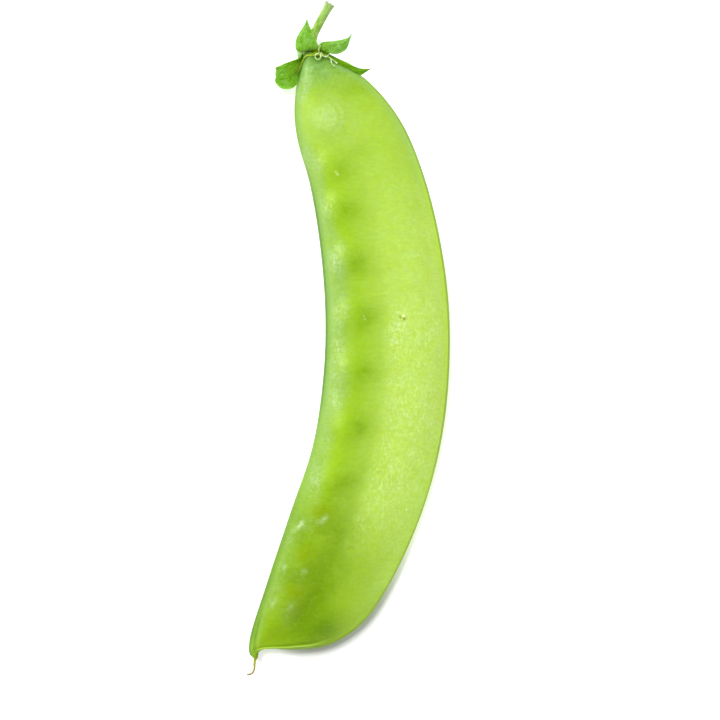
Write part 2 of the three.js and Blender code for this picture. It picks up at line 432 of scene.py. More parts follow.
bowl = (4 * ACROSS * (1 - ACROSS)) ** THIN_SEAMS * smooth_table(FULLNESS, ACROSS)
height = smooth_table(HALF_THICKNESS, ALONG) * bowl
print("the wall stands out up to", round(float(height.max()), 1), "mm")

# %% [markdown]
# ## Drawn as it looks from the camera
#
# The valley, the sepals, the stalk, the style and the threads are drawn as they look from the
# camera, which hangs less than half a metre above the pod. From there, what stands higher looks
# further out, at the calyx by up to 0.8 millimetres. Each drawn number could be put right by hand,
# but then the drawing would no longer say what it was. So the numbers stay as drawn, and a function
# moves each point by its height.

# %% From the drawing to its place under the camera
VIEW_HEIGHT = VIEW_WIDTH * LENS / SENSOR / MM  # of the camera above the pod's middle height
VIEW_MIDDLE = (2.24, -4.11)  # what the camera looks at, on the drawing
DRAWN_HEIGHT = CAMERA_AIM.z / MM


def under_camera(points, height=None):
    """Moves points that are drawn as they look from the camera to where they stand, in millimetres.

    What stands above the middle height looks too far from the middle of the view, so it moves in,
    and what lies below moves out. Flat points are given one height for all of them.
    """
    placed = np.array(points, float)
    heights = placed[..., 2:] if height is None else height
    share = (VIEW_HEIGHT + DRAWN_HEIGHT - heights) / VIEW_HEIGHT
    placed[..., :2] = VIEW_MIDDLE + (placed[..., :2] - VIEW_MIDDLE) * share
    return placed


print("the camera hangs", round(VIEW_HEIGHT), "mm above the pod's middle height")

# %% The shallow valley between the row of peas and the full back half
VALLEY_LINE = [
    (3.5, 40), (4.6, 27), (6, 10), (6.4, -6), (4.5, -18), (1.5, -30), (-2, -42), (-6, -52), (-9, -57.5),
]
VALLEY_HEIGHT = 8.7  # above the table, millimetres
VALLEY_WIDTH = 3.2  # millimetres
VALLEY_DEPTH, VALLEY_DEEPENS = 0.12, 0.45  # the second is added on the way to the beak


def distance_to(line):
    """How far each point of the net is from a drawn line, seen from above, in millimetres."""
    nearest = np.full(ALONG.shape, np.inf)
    for point in onto_solid(smooth_curve(line)[::12]):
        nearest = np.minimum(nearest, np.linalg.norm(PLAN - point, axis=-1))
    return nearest


FROM_VALLEY = distance_to(under_camera(VALLEY_LINE, VALLEY_HEIGHT))
depth = VALLEY_DEPTH + VALLEY_DEEPENS * ramp(ALONG, 0.55, 0.85)
height -= depth * hump(FROM_VALLEY, 0, VALLEY_WIDTH)

# %% The cord of the seed seam, and the lip along the beak
CORD_WIDTH, CORD_WIDENS = 0.33, 0.4  # millimetres, and how much more at the beak
CORD_HEIGHT = 0.05
CORD_GROOVE, GROOVE_DEEPENS = 0.05, 0.35  # beside the cord, and how much more at the beak
LIP_HEIGHT, LIP_PLACE, LIP_WIDTH = 0.22, 1.15, 0.3  # the place is millimetres from the back seam
FURROW_DEPTH, FURROW_PLACE, FURROW_WIDTH = 0.12, 1.9, 0.4  # inside the lip

cord = CORD_WIDTH + CORD_WIDENS * ramp(ALONG, 0.86, 0.985)
height += CORD_HEIGHT * hump(FROM_SEED, cord, cord)
beside = CORD_GROOVE + GROOVE_DEEPENS * ramp(ALONG, 0.88, 0.98)
height -= beside * hump(FROM_SEED, 2 * cord, 0.5 * cord)
lip = LIP_HEIGHT * hump(FROM_BACK, LIP_PLACE, LIP_WIDTH)
furrow = FURROW_DEPTH * hump(FROM_BACK, FURROW_PLACE, FURROW_WIDTH)
RIM = ramp(ALONG, 0.88, 0.92) * (1 - ramp(ALONG, 0.975, 0.99))
height = np.maximum(height + RIM * (lip - furrow), 0)

# %% The net in space
MIDDLE_HEIGHT = 4.3  # of the plane between the walls, above the table, in millimetres
NECK_RISE = 1.0
BEAK_RISE = 0.6

middle = MIDDLE_HEIGHT + NECK_RISE * (1 - ALONG) ** 8 + BEAK_RISE * ALONG**6
SKIN = np.dstack([PLAN, middle + SIDE * height]) * MM
print("the net has", SKIN.shape[0], "rings of", SKIN.shape[1])

# %% [markdown]
# ## The peas push the wall out
#
# Eleven half-grown peas hang from the seed seam, about 6 mm inside it, and each one pushes the wall
# out a little. The swellings could be sculpted one by one, but they all follow one rule: the wall
# stands out most over a pea and less with distance. Geometry Nodes suit such a rule. The tree
# takes the skin and the peas, in two rows because they hang from the two walls by turns, finds the
# nearest pea of each row for every point, and moves the point out along the wall's normal. A
# little slow noise keeps the wall from looking machined.

# %% The net becomes a closed mesh


def enclosed(mesh):
    """The volume inside a closed mesh, in cubic millimetres: negative if its faces point inwards."""
    points = np.empty(len(mesh.vertices) * 3)
    mesh.vertices.foreach_get("co", points)
    points = points.reshape(-1, 3) / MM
    mesh.calc_loop_triangles()
    corners = np.empty(len(mesh.loop_triangles) * 3, int)
    mesh.loop_triangles.foreach_get("vertices", corners)
    a, b, c = points[corners.reshape(-1, 3)].transpose(1, 0, 2)
    return float((a * np.cross(b, c)).sum() / 6)


def closed_net(name, grid, first, last):
    """A mesh from rings of points, closed with a fan at each end."""
    rings, count = grid.shape[:2]
    points = np.vstack([grid.reshape(-1, 3), [first], [last]])
    i, j = np.meshgrid(np.arange(rings - 1), np.arange(count), indexing="ij")
    k = (j + 1) % count
    quads = np.stack([i * count + j, i * count + k, (i + 1) * count + k, (i + 1) * count + j], -1)
    faces = [tuple(int(v) for v in quad) for quad in quads.reshape(-1, 4)]
    final = (rings - 1) * count
    for j in range(count):
        k = (j + 1) % count
        faces.append((k, j, rings * count))
        faces.append((final + j, final + k, rings * count + 1))
    mesh = bpy.data.meshes.new(name)
    mesh.from_pydata([tuple(p) for p in points], [], faces)
    if enclosed(mesh) < 0:
        mesh.flip_normals()
    mesh.shade_smooth()
    made = bpy.data.objects.new(name, mesh)
    collection.objects.link(made)
    print(name, "has", len(faces), "faces around", round(abs(enclosed(mesh)), 1), "cubic mm")
    return made


def add_attribute(made, name, values, ends=(0.0, 0.0)):
    """Stores one number for each point of a net, and one for each of its two ends."""
    attribute = made.data.attributes.new(name, "FLOAT", "POINT")
    attribute.data.foreach_set("value", np.concatenate([np.ravel(values), ends]).astype(np.float32))


SEAM_STRIP = 3  # millimetres from each seam within which the peas push less and less

neck_end = np.append(onto_solid(NECK_END), middle[0, 0]) * MM
beak_end = np.append(onto_solid(BEAK_END), middle[-1, 0]) * MM
pod = closed_net("pod_skin", SKIN, neck_end, beak_end)
add_attribute(pod, "swells", np.minimum(1, np.minimum(FROM_SEED, FROM_BACK) / SEAM_STRIP))

# %% Where the peas sit
PEAS = [  # where on the drawing, how big beside an average one
    (-5.1, 45.1, 1.5), (-3.9, 35.2, 1.0), (-2.4, 27.0, 1.0), (-0.7, 16.0, 1.0), (0.3, 4.7, 1.05),
    (0.3, -6.3, 1.0), (-0.6, -17.9, 0.95), (-3.6, -28.3, 0.9), (-7.2, -36.2, 0.95), (-10.4, -45, 1.0),
    (-12.8, -53.0, 0.9),
]


def path_object(name, points, sizes=None):
    """A plain curve through points given in metres, which can carry a size each."""
    curve = bpy.data.curves.new(name, "CURVE")
    curve.dimensions = "3D"
    spline = curve.splines.new("POLY")
    spline.points.add(len(points) - 1)
    for number, (knot, point) in enumerate(zip(spline.points, points)):
        knot.co = (*point, 1)
        knot.radius = sizes[number] if sizes else 1.0
    made = bpy.data.objects.new(name, curve)
    collection.objects.link(made)
    return made


# %% Small tools for Geometry Nodes


class Tree:
    """A Geometry Nodes tree with named inputs, made step by step."""

    def __init__(self, name, **inputs):
        self.group = bpy.data.node_groups.new(name, "GeometryNodeTree")
        face = self.group.interface
        face.new_socket("Geometry", in_out="INPUT", socket_type="NodeSocketGeometry")
        face.new_socket("Geometry", in_out="OUTPUT", socket_type="NodeSocketGeometry")
        kinds = {float: "NodeSocketFloat", int: "NodeSocketInt", bpy.types.Object: "NodeSocketObject"}
        kinds |= {bpy.types.Material: "NodeSocketMaterial", Vector: "NodeSocketVector"}
        for label, kind in inputs.items():
            face.new_socket(label, in_out="INPUT", socket_type=kinds[kind])
        self.source = self.group.nodes.new("NodeGroupInput")
        self.result = self.group.nodes.new("NodeGroupOutput")

    def __getitem__(self, label):
        return self.source.outputs[label]

    def step(self, kind, settings=None, **inputs):
        """Adds a node. inputs are values or sockets, by socket name or as in_0, in_1 and so on."""
        node = self.group.nodes.new(kind)
        for name, value in (settings or {}).items():
            setattr(node, name, value)
        for name, value in inputs.items():
            key = int(name[3:]) if name.startswith("in_") else name.replace("_", " ")
            if isinstance(value, bpy.types.NodeSocket):
                self.group.links.new(value, node.inputs[key])
            else:
                node.inputs[key].default_value = value
        return node

    def maths(self, operation, first, second=0.0):
        """One operation on one or two numbers."""
        return self.step("ShaderNodeMath", {"operation": operation}, in_0=first, in_1=second).outputs[0]

    def vector(self, operation, **inputs):
        """One operation on vectors."""
        return self.step("ShaderNodeVectorMath", {"operation": operation}, **inputs)

    def scaled(self, vector, length):
        """A vector made this many times as long."""
        return self.vector("SCALE", in_0=vector, Scale=length).outputs[0]

    def cloudy(self, place, size):
        """Slow noise, about 0.5 on average, with clouds of this size."""
        scale = self.maths("DIVIDE", 1.0, size)
        return self.step("ShaderNodeTexNoise", Vector=place, Scale=scale, Detail=1.0).outputs[0]

    def moved(self, geometry, offset):
        """Every point moved by its own offset."""
        return self.step("GeometryNodeSetPosition", Geometry=geometry, Offset=offset).outputs[0]

    def marked(self, geometry, name, value):
        """The same geometry with a number stored for each of its points."""
        inputs = {"Geometry": geometry, "Name": name, "Value": value}
        return self.step("GeometryNodeStoreNamedAttribute", **inputs).outputs[0]

    def spaced(self, curve, count):
        """A curve with this many points, evenly spaced."""
        return self.step("GeometryNodeResampleCurve", Curve=curve, Count=count).outputs[0]

    def finish(self, socket, material):
        """Ends the tree: instances made real, and the material set."""
        real = self.step("GeometryNodeRealizeInstances", Geometry=socket).outputs[0]
        dressed = self.step("GeometryNodeSetMaterial", Geometry=real, Material=material).outputs[0]
        self.group.links.new(dressed, self.result.inputs["Geometry"])

    def apply(self, made, **values):
        """Runs the tree on an object with these input values and keeps the result as a plain mesh."""
        modifier = made.modifiers.new(self.group.name, "NODES")
        modifier.node_group = self.group
        for item in self.group.interface.items_tree:
            if item.in_out == "INPUT" and item.name in values:
                modifier[item.identifier] = values[item.name]
        graph = bpy.context.evaluated_depsgraph_get()
        mesh = bpy.data.meshes.new_from_object(made.evaluated_get(graph), depsgraph=graph)
        made.modifiers.remove(modifier)
        if made.type == "MESH":
            made.data = mesh
            return made
        name = made.name
        bpy.data.objects.remove(made)
        plain = bpy.data.objects.new(name, mesh)
        collection.objects.link(plain)
        return plain


# %% The tree that swells the wall
FALL_STEEPNESS = 2.3  # 2 gives a bell, more a flatter top with a steeper edge

swelling = Tree(
    "pea_swellings", Left_Peas=bpy.types.Object, Right_Peas=bpy.types.Object, Height=float, Reach=float,
    Waviness=float, Wave_Size=float, Material=bpy.types.Material,
)
place = swelling.step("GeometryNodeInputPosition").outputs[0]
parts = swelling.step("ShaderNodeSeparateXYZ", Vector=place).outputs
flat = swelling.step("ShaderNodeCombineXYZ", X=parts["X"], Y=parts["Y"]).outputs[0]
pushes = []
for row in ("Left_Peas", "Right_Peas"):
    line = swelling.step("GeometryNodeObjectInfo", Object=swelling[row]).outputs["Geometry"]
    points = swelling.step("GeometryNodeCurveToPoints", {"mode": "EVALUATED"}, Curve=line).outputs["Points"]
    to_points = {"target_element": "POINTS"}
    near = swelling.step("GeometryNodeProximity", to_points, Geometry=points, Sample_Position=flat)
    which = swelling.step("GeometryNodeSampleNearest", Geometry=points, Sample_Position=flat).outputs[0]
    radius = swelling.step("GeometryNodeInputRadius").outputs[0]
    size = swelling.step("GeometryNodeSampleIndex", Geometry=points, Value=radius, Index=which).outputs[0]
    reach = swelling.maths("MULTIPLY", swelling["Reach"], size)
    away = swelling.maths("DIVIDE", near.outputs["Distance"], reach)
    steep = swelling.maths("MULTIPLY", swelling.maths("POWER", away, FALL_STEEPNESS), -1.0)
    pushes.append(swelling.maths("MULTIPLY", swelling.maths("EXPONENT", steep), swelling["Height"]))
push = swelling.maths("ADD", *pushes)
noise = swelling.cloudy(place, swelling["Wave_Size"])
wave = swelling.maths("MULTIPLY", swelling.maths("SUBTRACT", noise, 0.5), swelling["Waviness"])
free = swelling.step("GeometryNodeInputNamedAttribute", Name="swells").outputs["Attribute"]
length = swelling.maths("MULTIPLY", swelling.maths("ADD", push, wave), free)
normal = swelling.step("GeometryNodeInputNormal").outputs[0]
swollen = swelling.moved(swelling["Geometry"], swelling.scaled(normal, length))
swelling.finish(swollen, swelling["Material"])
print(swelling.group.name, "has", len(swelling.group.nodes), "nodes")

# %% The skin swells
PEA_SWELL = 0.62 * MM
PEA_REACH = 3.0 * MM
WAVINESS = 0.5 * MM
WAVE_SIZE = 12 * MM


def pea_row(name, peas):
    """The peas that hang from one wall, as a path with a point and a size for each."""
    places = onto_solid([pea[:2] for pea in peas]) * MM
    return path_object(name, [(*place, 0) for place in places], [pea[2] for pea in peas])


skin_paint = Paint("pod_skin")
rows = {"Left_Peas": pea_row("left_peas", PEAS[::2]), "Right_Peas": pea_row("right_peas", PEAS[1::2])}
swelling.apply(
    pod, **rows, Height=PEA_SWELL, Reach=PEA_REACH, Waviness=WAVINESS, Wave_Size=WAVE_SIZE,
    Material=skin_paint.material,
)
for row in rows.values():
    bpy.data.objects.remove(row)
print("the swollen skin encloses", round(enclosed(pod.data)), "cubic mm")

# %% [markdown]
# ## The belly settles on the table
#
# A fresh pod is soft, so the wall that it lies on flattens a little where its own weight presses
# it down. A cloth or soft body simulation could find that shape, but it would take long for a flat
# of a few millimetres. So every point that would lie below the table is lifted onto it, and the
# points just above it turn softly into the flat.

# %% Points below the table are lifted onto it
BELLY_SOFTNESS = 0.25 * MM


def settle(made):
    """Presses what would lie below the table flat, with a soft turn where the flat begins."""
    points = np.empty(len(made.data.vertices) * 3)
    made.data.vertices.foreach_get("co", points)
    z = points[2::3]
    turn = (z + BELLY_SOFTNESS) ** 2 / (4 * BELLY_SOFTNESS)
    points[2::3] = np.where(z < -BELLY_SOFTNESS, 0, np.where(z < BELLY_SOFTNESS, turn, z))
    made.data.vertices.foreach_set("co", points)
    made.data.update()


settle(pod)
print("the settled skin encloses", round(enclosed(pod.data)), "cubic mm")

# %% [markdown]
# ## The colours of the skin
#
# A pod's green is not one green. The wall is pale and a little yellow where it is empty, deeper
# over the peas and in the valley, with painted shade on the side of each pea and of the valley
# away from the light, and bluish under a thin bloom of wax along the seed seam and at the neck.
# Along the seed seam that bluish band is partly a painted sheen, and the pale spots and streaks on
# the swellings, with the round patch over the first pea, are painted highlights. A paler band
# along the back seam near the beak is painted light. Towards the beak everything gets darker. A
# picture could be painted for this, but the net already knows where each of its points is on the
# pod. So the places are worked out here as numbers from 0 to 1, one set for each kind of colour,
# and the material only mixes them, with noise to break their edges up.

# %% Soft spots, and bands across the pod
UP = PLAN[..., 1]  # millimetres up the drawing, from its middle
DOWN = -UP


def spots(places, reach):
    """Soft spots of strength 1, or of the strength given with each place, this wide and this high."""
    total = np.zeros_like(ALONG)
    for x, y, *strength in places:
        gap = (PLAN - onto_solid((x, y))) / reach
        total += (strength or [1])[0] * np.exp(-(gap**2).sum(-1))
    return total


def between(low, high, soft=4.0):
    """1 where the pod is between these heights on the drawing, in millimetres, and 0 elsewhere."""
    return ramp(UP, low - soft, low + soft) * (1 - ramp(UP, high - soft, high + soft))


# %% The painted highlight over the first pea: a round pale patch with its two rings
FIRST_PEA = (-5.0, 44.9)
FIRST_GLOW = 5.5  # how far the pale glow round it reaches, in millimetres
PATCH_RINGS = [(2.3, 0.4, -5.5), (3.6, 0.35, -3.5)]  # radius, width, and how far left the ring goes
RING_SOFTNESS = 2.0

from_first = np.linalg.norm(PLAN - onto_solid(FIRST_PEA), axis=-1)
first = np.exp(-((from_first / FIRST_GLOW) ** 2)) * ramp(FROM_SEED, 0.5, 2)
disc = 0.6 * (1 - ramp(from_first, 1.4, 3.2)) + 0.35 * spots([(-4.5, 44.5)], (1.0, 1.2))
for radius, width, leftmost in PATCH_RINGS:
    disc += 0.5 * hump(from_first, radius, width) * ramp(PLAN[..., 0], leftmost, leftmost + RING_SOFTNESS)
fields = {"from_seed": FROM_SEED, "from_back": FROM_BACK, "rim": RIM, "first": first, "disc": disc}

# %% The pale back half, and the flecks on it
PALE_ALONG = [  # share of the way from neck to beak, and how pale
    (0, 0.15), (0.1, 0.25), (0.2, 0.5), (0.3, 0.8), (0.42, 1.0), (0.7, 1.0), (0.76, 0.8), (0.8, 0.55),
    (0.84, 0.24), (0.88, 0.03), (0.92, 0), (1, 0),
]
SCALY_SPOTS = [
    (10.7, 3.0, 1.0), (9.1, 2.2, 1.0), (10.0, 0.9, 0.8), (9.1, -0.6, 0.9), (8.9, -9.0, 0.8),
    (8.4, -12.0, 0.4), (14.0, 16.8, 0.5), (13.2, 22.0, 0.4), (15.8, 5.0, 0.3), (15.4, -9.0, 0.3),
]
FLECKED_SPOTS = [(12, 1), (8, -27), (13.5, -15)]

later = 0.045 * between(-32, 6)
pale = ramp(ACROSS, 0.17 + later, 0.59 + later) * smooth_table(PALE_ALONG, ALONG)
pale += 0.25 * spots([(-2.0, 42.0)], (6, 6)) + 0.35 * spots([(15.8, -15.0)], (3, 6))
pale += 0.2 * hump(FROM_BACK, 1.8, 1.2) * between(-48, 30)
fleck = ramp(ACROSS, 0.46, 0.56) * between(-42, 8, 5.0) + 0.4 * ramp(ACROSS, 0.5, 0.7) * between(8, 34)
fleck *= 0.45 + 0.6 * spots(FLECKED_SPOTS, (6, 6))
fields |= {"pale": pale, "fleck": fleck, "scaly": spots(SCALY_SPOTS, (1.5, 1.2))}

# %% The painted shade beside each pea and along the valley, over the deeper green of the peas
# Each patch is painted shade on the side of a pea away from the light, over the deeper green where the pea
# shows through the wall.
PATCHES = [  # the shade beside each pea: where, how strongly
    (-1.4, 34.4, 0.7), (-0.8, 26.0, 0.7), (1.9, 15.4, 0.9), (2.8, 4.3, 1.1), (3.5, -6.3, 1.0),
    (2.1, -17.4, 0.8), (-1.2, -29.4, 0.8), (-3.9, -37.6, 0.6), (-7.6, -47.0, 0.35), (7.5, -29.5, 0.22),
]
PATCH_CORE = (2.2, 1.8)  # millimetres across and along
PATCH_HALO = (4.6, 3.0)
BLOTCHES = [
    (-6.2, 50.8, 0.3), (0.2, 50.6, 0.7), (3.4, 51.2, 0.4), (1.8, 37.6, 0.35), (3.5, 39.5, 0.2),
    (-11.2, -40.8, 0.35), (-16.8, -59.6, 0.3), (-0.5, -33.8, 0.35), (3.8, -25.5, 0.3),
]
BLOTCH_REACH = (3.2, 2.2)

deep = 0.09 * hump(FROM_VALLEY + 1, 0, 5.0) * ramp(ALONG, 0.14, 0.3)
deep += 0.34 * spots(PATCHES, PATCH_CORE) + 0.26 * spots(PATCHES, PATCH_HALO)
deep += 0.5 * spots(BLOTCHES, BLOTCH_REACH)
groove = 0.8 * hump(FROM_VALLEY, 0, 3.6) * ramp(ALONG, 0.6, 0.9)
groove += 0.16 * hump(ACROSS, 0.62, 0.14) * between(-59, -36)
fields |= {"deep": deep, "groove": groove}

# %% The darker third towards the beak
DARK_END = [(-5.9, -58.1, 0.9), (-10.0, -61.0, 0.35)]
SUNNY_SPOTS = [
    (-7.2, -34.9, 0.7), (-5.6, -34.3, 0.8), (-4.6, -35.6, 0.5), (-9.5, -44.1, 1.0), (-8.4, -42.3, 1.1),
    (-11.2, -50.8, 1.0), (-10.0, -52.4, 0.2), (-6.2, -38.4, 0.5),
]

tip = np.maximum(ramp(ALONG, 0.74, 0.98) * 0.36 * ramp(FROM_BACK, 1, 9), spots(DARK_END, (5.0, 3.8)))
tip *= (1 - ramp(ALONG, 0.965, 0.985)) * (1 - 0.5 * hump(FROM_SEED, 2.5, 2.0))
lower = 0.52 * ramp(DOWN, 22, 38) * (1 - ramp(ACROSS, 0.3, 0.6) * (1 - 0.6 * ramp(DOWN, 38, 52)))
lower *= 1 - 0.7 * ramp(DOWN, 48, 56) * ramp(ACROSS, 0.12, 0.28)
lower += 0.55 * hump(ACROSS, 0.1, 0.14) * between(-52, -35)
lower += 0.35 * hump(ACROSS, 0.05, 0.1) * ramp(DOWN, 55, 59)
lower -= 0.22 * hump(ACROSS, 0.36, 0.1) * between(-58, -49, 3.0)
fields |= {"tip": tip, "lower": lower, "greening": 0.35 * ramp(DOWN, 30, 46)}
fields |= {"sunny": spots(SUNNY_SPOTS, (1.5, 1.2)), "beak": ramp(ALONG, 0.955, 0.98)}

# %% The bloom of wax with its painted sheen, the painted highlights on the swellings, and the neck
# Painted highlights: pale glints on the left side of each swelling, laid over the thin wax.
WAX_AND_GLINT_SPOTS = [  # where the wax on the swellings is thickest
    (-6.0, 36.0, 0.4), (-3.9, 27.2, 0.7), (-2.3, 16.4, 0.8), (-1.9, 5.2, 0.7), (-2.2, -1.5, 0.5),
    (-2.2, -6.4, 0.5), (-2.8, -12.0, 0.6), (-4.6, -21.0, 0.2), (-6.6, -27.8, 0.5), (-7.2, -31.0, 0.3),
    (-9.2, 36.6, 0.5), (-8.8, 53.8, 0.5), (-9.9, 50.3, 0.4), (-12.4, -39.6, 0.4), (-8.0, -37.6, 0.3),
    (-13.4, -45.8, 0.2), (-9.8, -47.4, 0.15), (-15.4, -53.4, 0.2), (-12.2, -54.6, 0.3), (-14.6, -49.6, 0.2),
]
WAX_AND_GLINT_REACH = (1.5, 2.4)
# Painted highlights: thin whitish glint streaks on the small swellings near the seed seam, each drawn as a
# row of small spots.
WAX_AND_GLINT_STREAKS = [  # rubbed thin streaks, each a row of small spots
    (-11.1, -38.7, 0.3), (-10.7, -38.35, 0.5), (-10.3, -38.0, 0.7), (-9.9, -37.65, 0.9), (-9.5, -37.3, 0.9),
    (-9.15, -36.95, 0.6), (-6.0, -37.1, 0.4), (-5.6, -36.75, 0.5), (-5.2, -36.4, 0.6), (-4.8, -36.05, 0.6),
    (-4.5, -35.7, 0.4), (-13.3, -46.3, 0.4), (-12.7, -46.0, 0.3), (-9.2, -46.9, 0.4), (-8.6, -46.6, 0.3),
    (-15.9, -54.1, 0.4), (-15.2, -53.5, 0.4), (-11.7, -53.8, 0.4), (-14.9, -52.7, 0.3),
]
GLINT_STREAK_REACH = (0.45, 0.45)

# The bluish band along the seed seam is wax bloom with a painted sheen: the reflection of light on the
# seam's slope, painted into the colour.
bloom_and_sheen_width = 3.0 + 1.3 * between(-16, 20) - 0.7 * hump(UP, 28, 4)  # millimetres from the seed seam
bloom_and_sheen_width -= 1.2 * between(38, 50, 3.0) + 1.2 * between(-70, -32, 4.0)
bloom = (1 - ramp(FROM_SEED / bloom_and_sheen_width, 0.6, 1.7)) * (1 - 0.55 * ramp(ALONG, 0.6, 0.78))
dull = ramp(UP, 38, 44) + 0.55 * ramp(DOWN, 16, 40) + 0.5 * ramp(FROM_SEED, 5, 9)
fields |= {"bloom": bloom, "wax": spots(WAX_AND_GLINT_SPOTS, WAX_AND_GLINT_REACH), "smear": spots(WAX_AND_GLINT_STREAKS, GLINT_STREAK_REACH)}
fields |= {"neck": 1 - ramp(ALONG, 0.02, 0.086), "collar_shade": 0.95 * ramp(UP, 55.0, 57.2)}
fields |= {"dull": np.minimum(dull, 1), "dusk": 0.36 * hump(FROM_SEED, 2.4, 1.6) * between(-50, -20)}

# %% Along the two seams
UNDER_SEAM = 0.4  # how much of the seed seam's dark edge the under wall shows

seed_edge = 0.35 + 0.6 * between(-14, 31, 6.0) + 0.4 * ramp(DOWN, 24, 46) + 0.8 * ramp(UP, 51, 54)
seed_edge *= np.where(SIDE < 0, UNDER_SEAM, 1)
seed_dark = seed_edge * (1 - 0.45 * ramp(DOWN, 16, 32) * (1 - 0.6 * ramp(DOWN, 49, 54)))
# A paler band along the back seam in the lower half: painted light that lifts the shade where the wall
# rounds off towards the seam.
margin = np.exp(-((FROM_BACK / 3.3) ** 2)) * ramp(DOWN, 8, 36) * (1 - 0.5 * ramp(DOWN, 49, 55))
margin *= 1 - ramp(ALONG, 0.82, 0.93)
back_fresh = (1 - 0.55 * ramp(DOWN, 4, 24)) * (1 - ramp(UP, 30, 42))
fields |= {"seed_edge": seed_edge, "seed_dark": seed_dark, "margin": margin, "back_fresh": back_fresh}
fields |= {"back_edge": 1 - 0.5 * ramp(DOWN, 14, 34), "upper_back": between(28, 62, 6.0)}

# %% Every number is stored on the net
for name, values in fields.items():
    add_attribute(pod, name, values)
print("the skin stores", len(fields), "numbers at each of its points")

# %% [markdown]
# ## The greens laid over each other
#
# On the real pod every one of these greens runs softly into the next. Each could be a material of
# its own on its own faces, but then there would be a hard line wherever two of them meet. So one
# material works as a painter does, coat over coat: it starts from a fresh green and lays one green
# after another over it, each only where its stored number says so. Two noises, a slow and a fine
# one, break each number up first: "broken" gives uneven edges, "frosted" a dusting of specks, and
# "ragged" separate flakes of wax with painted highlights.

# %% The skin's greens
FRESH_GREEN = (147, 185, 36)
PALE_GREEN = (182, 212, 102)
FIRST_PEA_HIGHLIGHT_GREEN = (184, 212, 140)
FIRST_GREEN = (160, 192, 90)
PEA_AND_SHADE_GREEN = (118, 160, 0)
GROOVE_GREEN = (110, 147, 2)
TIP_GREEN = (92, 130, 2)
BLOOM_AND_SHEEN_GREEN = (142, 178, 88)
NECK_GREEN = (121, 165, 84)
NECK_VEIN = (92, 142, 26)
NECK_WAX = (172, 206, 152)
COLLAR_SHADE = (74, 122, 20)
SUNNY_GREEN = (128, 158, 0)
LOWER_GREEN = (118, 156, 4)
OLIVE_GREEN = (146, 180, 0)
WAX_AND_GLINT_GREEN = (204, 224, 186)
BEAK_GREEN = (148, 180, 36)
BACK_MARGIN_LIGHT_GREEN = (186, 222, 106)
DUSK_GREEN = (112, 156, 48)

# %% Three ways to break a stored number up
paint = skin_paint
place = paint.place()
clouds = paint.noise(place, 6 * MM, detail=3)
mottle = paint.noise(place, 1.3 * MM, detail=4, roughness=0.6)
frost = paint.noise(paint.shifted(place, 1.5 * MM, 0.3 * MM), 0.62 * MM, detail=4, roughness=0.75)


def broken(mask, amount=0.5):
    """A stored place whose edge is broken up by the noise."""
    wobble = paint.times(paint.maths("SUBTRACT", clouds, 0.5), amount)
    fine = paint.times(paint.maths("SUBTRACT", mottle, 0.5), amount * 0.5)
    loose = paint.maths("ADD", paint.maths("ADD", wobble, fine), 1.0)
    return paint.maths("MINIMUM", paint.times(paint.stored(mask), loose), 1.0)


def frosted(mask, strength, least=0.1):
    """A stored place seen through fine frost: strongest in specks."""
    return paint.times(paint.stored(mask), paint.spread(frost, 0.36, 0.64, least, 1.0), strength)


def ragged(mask, strength):
    """A stored place broken up into separate frosty specks."""
    return paint.times(frosted(mask, strength, 0.2), paint.spread(mottle, 0.4, 0.58, 0.25, 1.0))


# %% Coat after coat
LOWER_COATS = [  # from the bottom one up: where, and which green
    (broken("greening", 0.8), OLIVE_GREEN), (broken("bloom", 2.0), BLOOM_AND_SHEEN_GREEN),
    (broken("first", 0.8), FIRST_GREEN), (frosted("disc", 0.85, 0.4), FIRST_PEA_HIGHLIGHT_GREEN),
    (broken("deep", 2.6), PEA_AND_SHADE_GREEN), (broken("lower", 1.6), LOWER_GREEN),
    (broken("tip", 1.2), TIP_GREEN), (broken("groove", 0.8), GROOVE_GREEN),
    (paint.times(broken("sunny", 2.5), 0.95), SUNNY_GREEN), (broken("margin", 1.0), BACK_MARGIN_LIGHT_GREEN),
    (broken("dusk", 1.0), DUSK_GREEN), (broken("neck", 1.6), NECK_GREEN),
]
UPPER_COATS = [
    (broken("collar_shade", 1.0), COLLAR_SHADE), (broken("beak", 0.6), BEAK_GREEN),
    # These last two coats are painted highlights: pale glints over the thin wax on the swellings.
    (ragged("wax", 0.75), WAX_AND_GLINT_GREEN), (frosted("smear", 0.6, 0.4), WAX_AND_GLINT_GREEN),
]


def coated(colour, coats):
    """A colour with one coat after another laid over it, in the material that is being made."""
    for share, green in coats:
        colour = paint.cover(colour, share, green)
    return colour


colour = coated(paint.mix(broken("pale"), linear(*FRESH_GREEN), linear(*PALE_GREEN)), LOWER_COATS)

# %% The neck's fine veins, with wax between them
oblique = paint.stretched(paint.shifted(place, 2 * MM, 0.5 * MM), (1.0, 0.55, 1.0), 0.5)
grain = paint.noise(oblique, 0.7 * MM, detail=4, roughness=0.65)
veined = paint.times(paint.spread(grain, 0.52, 0.66, 0.0, 0.5), paint.stored("neck"))
hazy = paint.times(paint.spread(grain, 0.34, 0.5, 0.3, 0.0), paint.stored("neck"))
colour = coated(colour, [(veined, NECK_VEIN), (hazy, NECK_WAX), *UPPER_COATS])

# %% [markdown]
# ## Flecks and mottling
#
# Close up, the pale half of a pod is covered with short pale strokes that cross each other in its
# thin coat of wax, and with a few white scales. The whole skin is mottled with a little yellow and
# blue besides. Strokes could be made one by one as thin pieces, but there are thousands and they
# have no thickness. So a noise that is stretched one way makes the rising ones, a noise that is
# stretched the other way makes the falling ones, and a slow noise chooses between them.

# %% Pale strokes and white scales on the back half
FLECK_GREEN = (216, 236, 172)
SCALE_GREEN = (222, 236, 204)

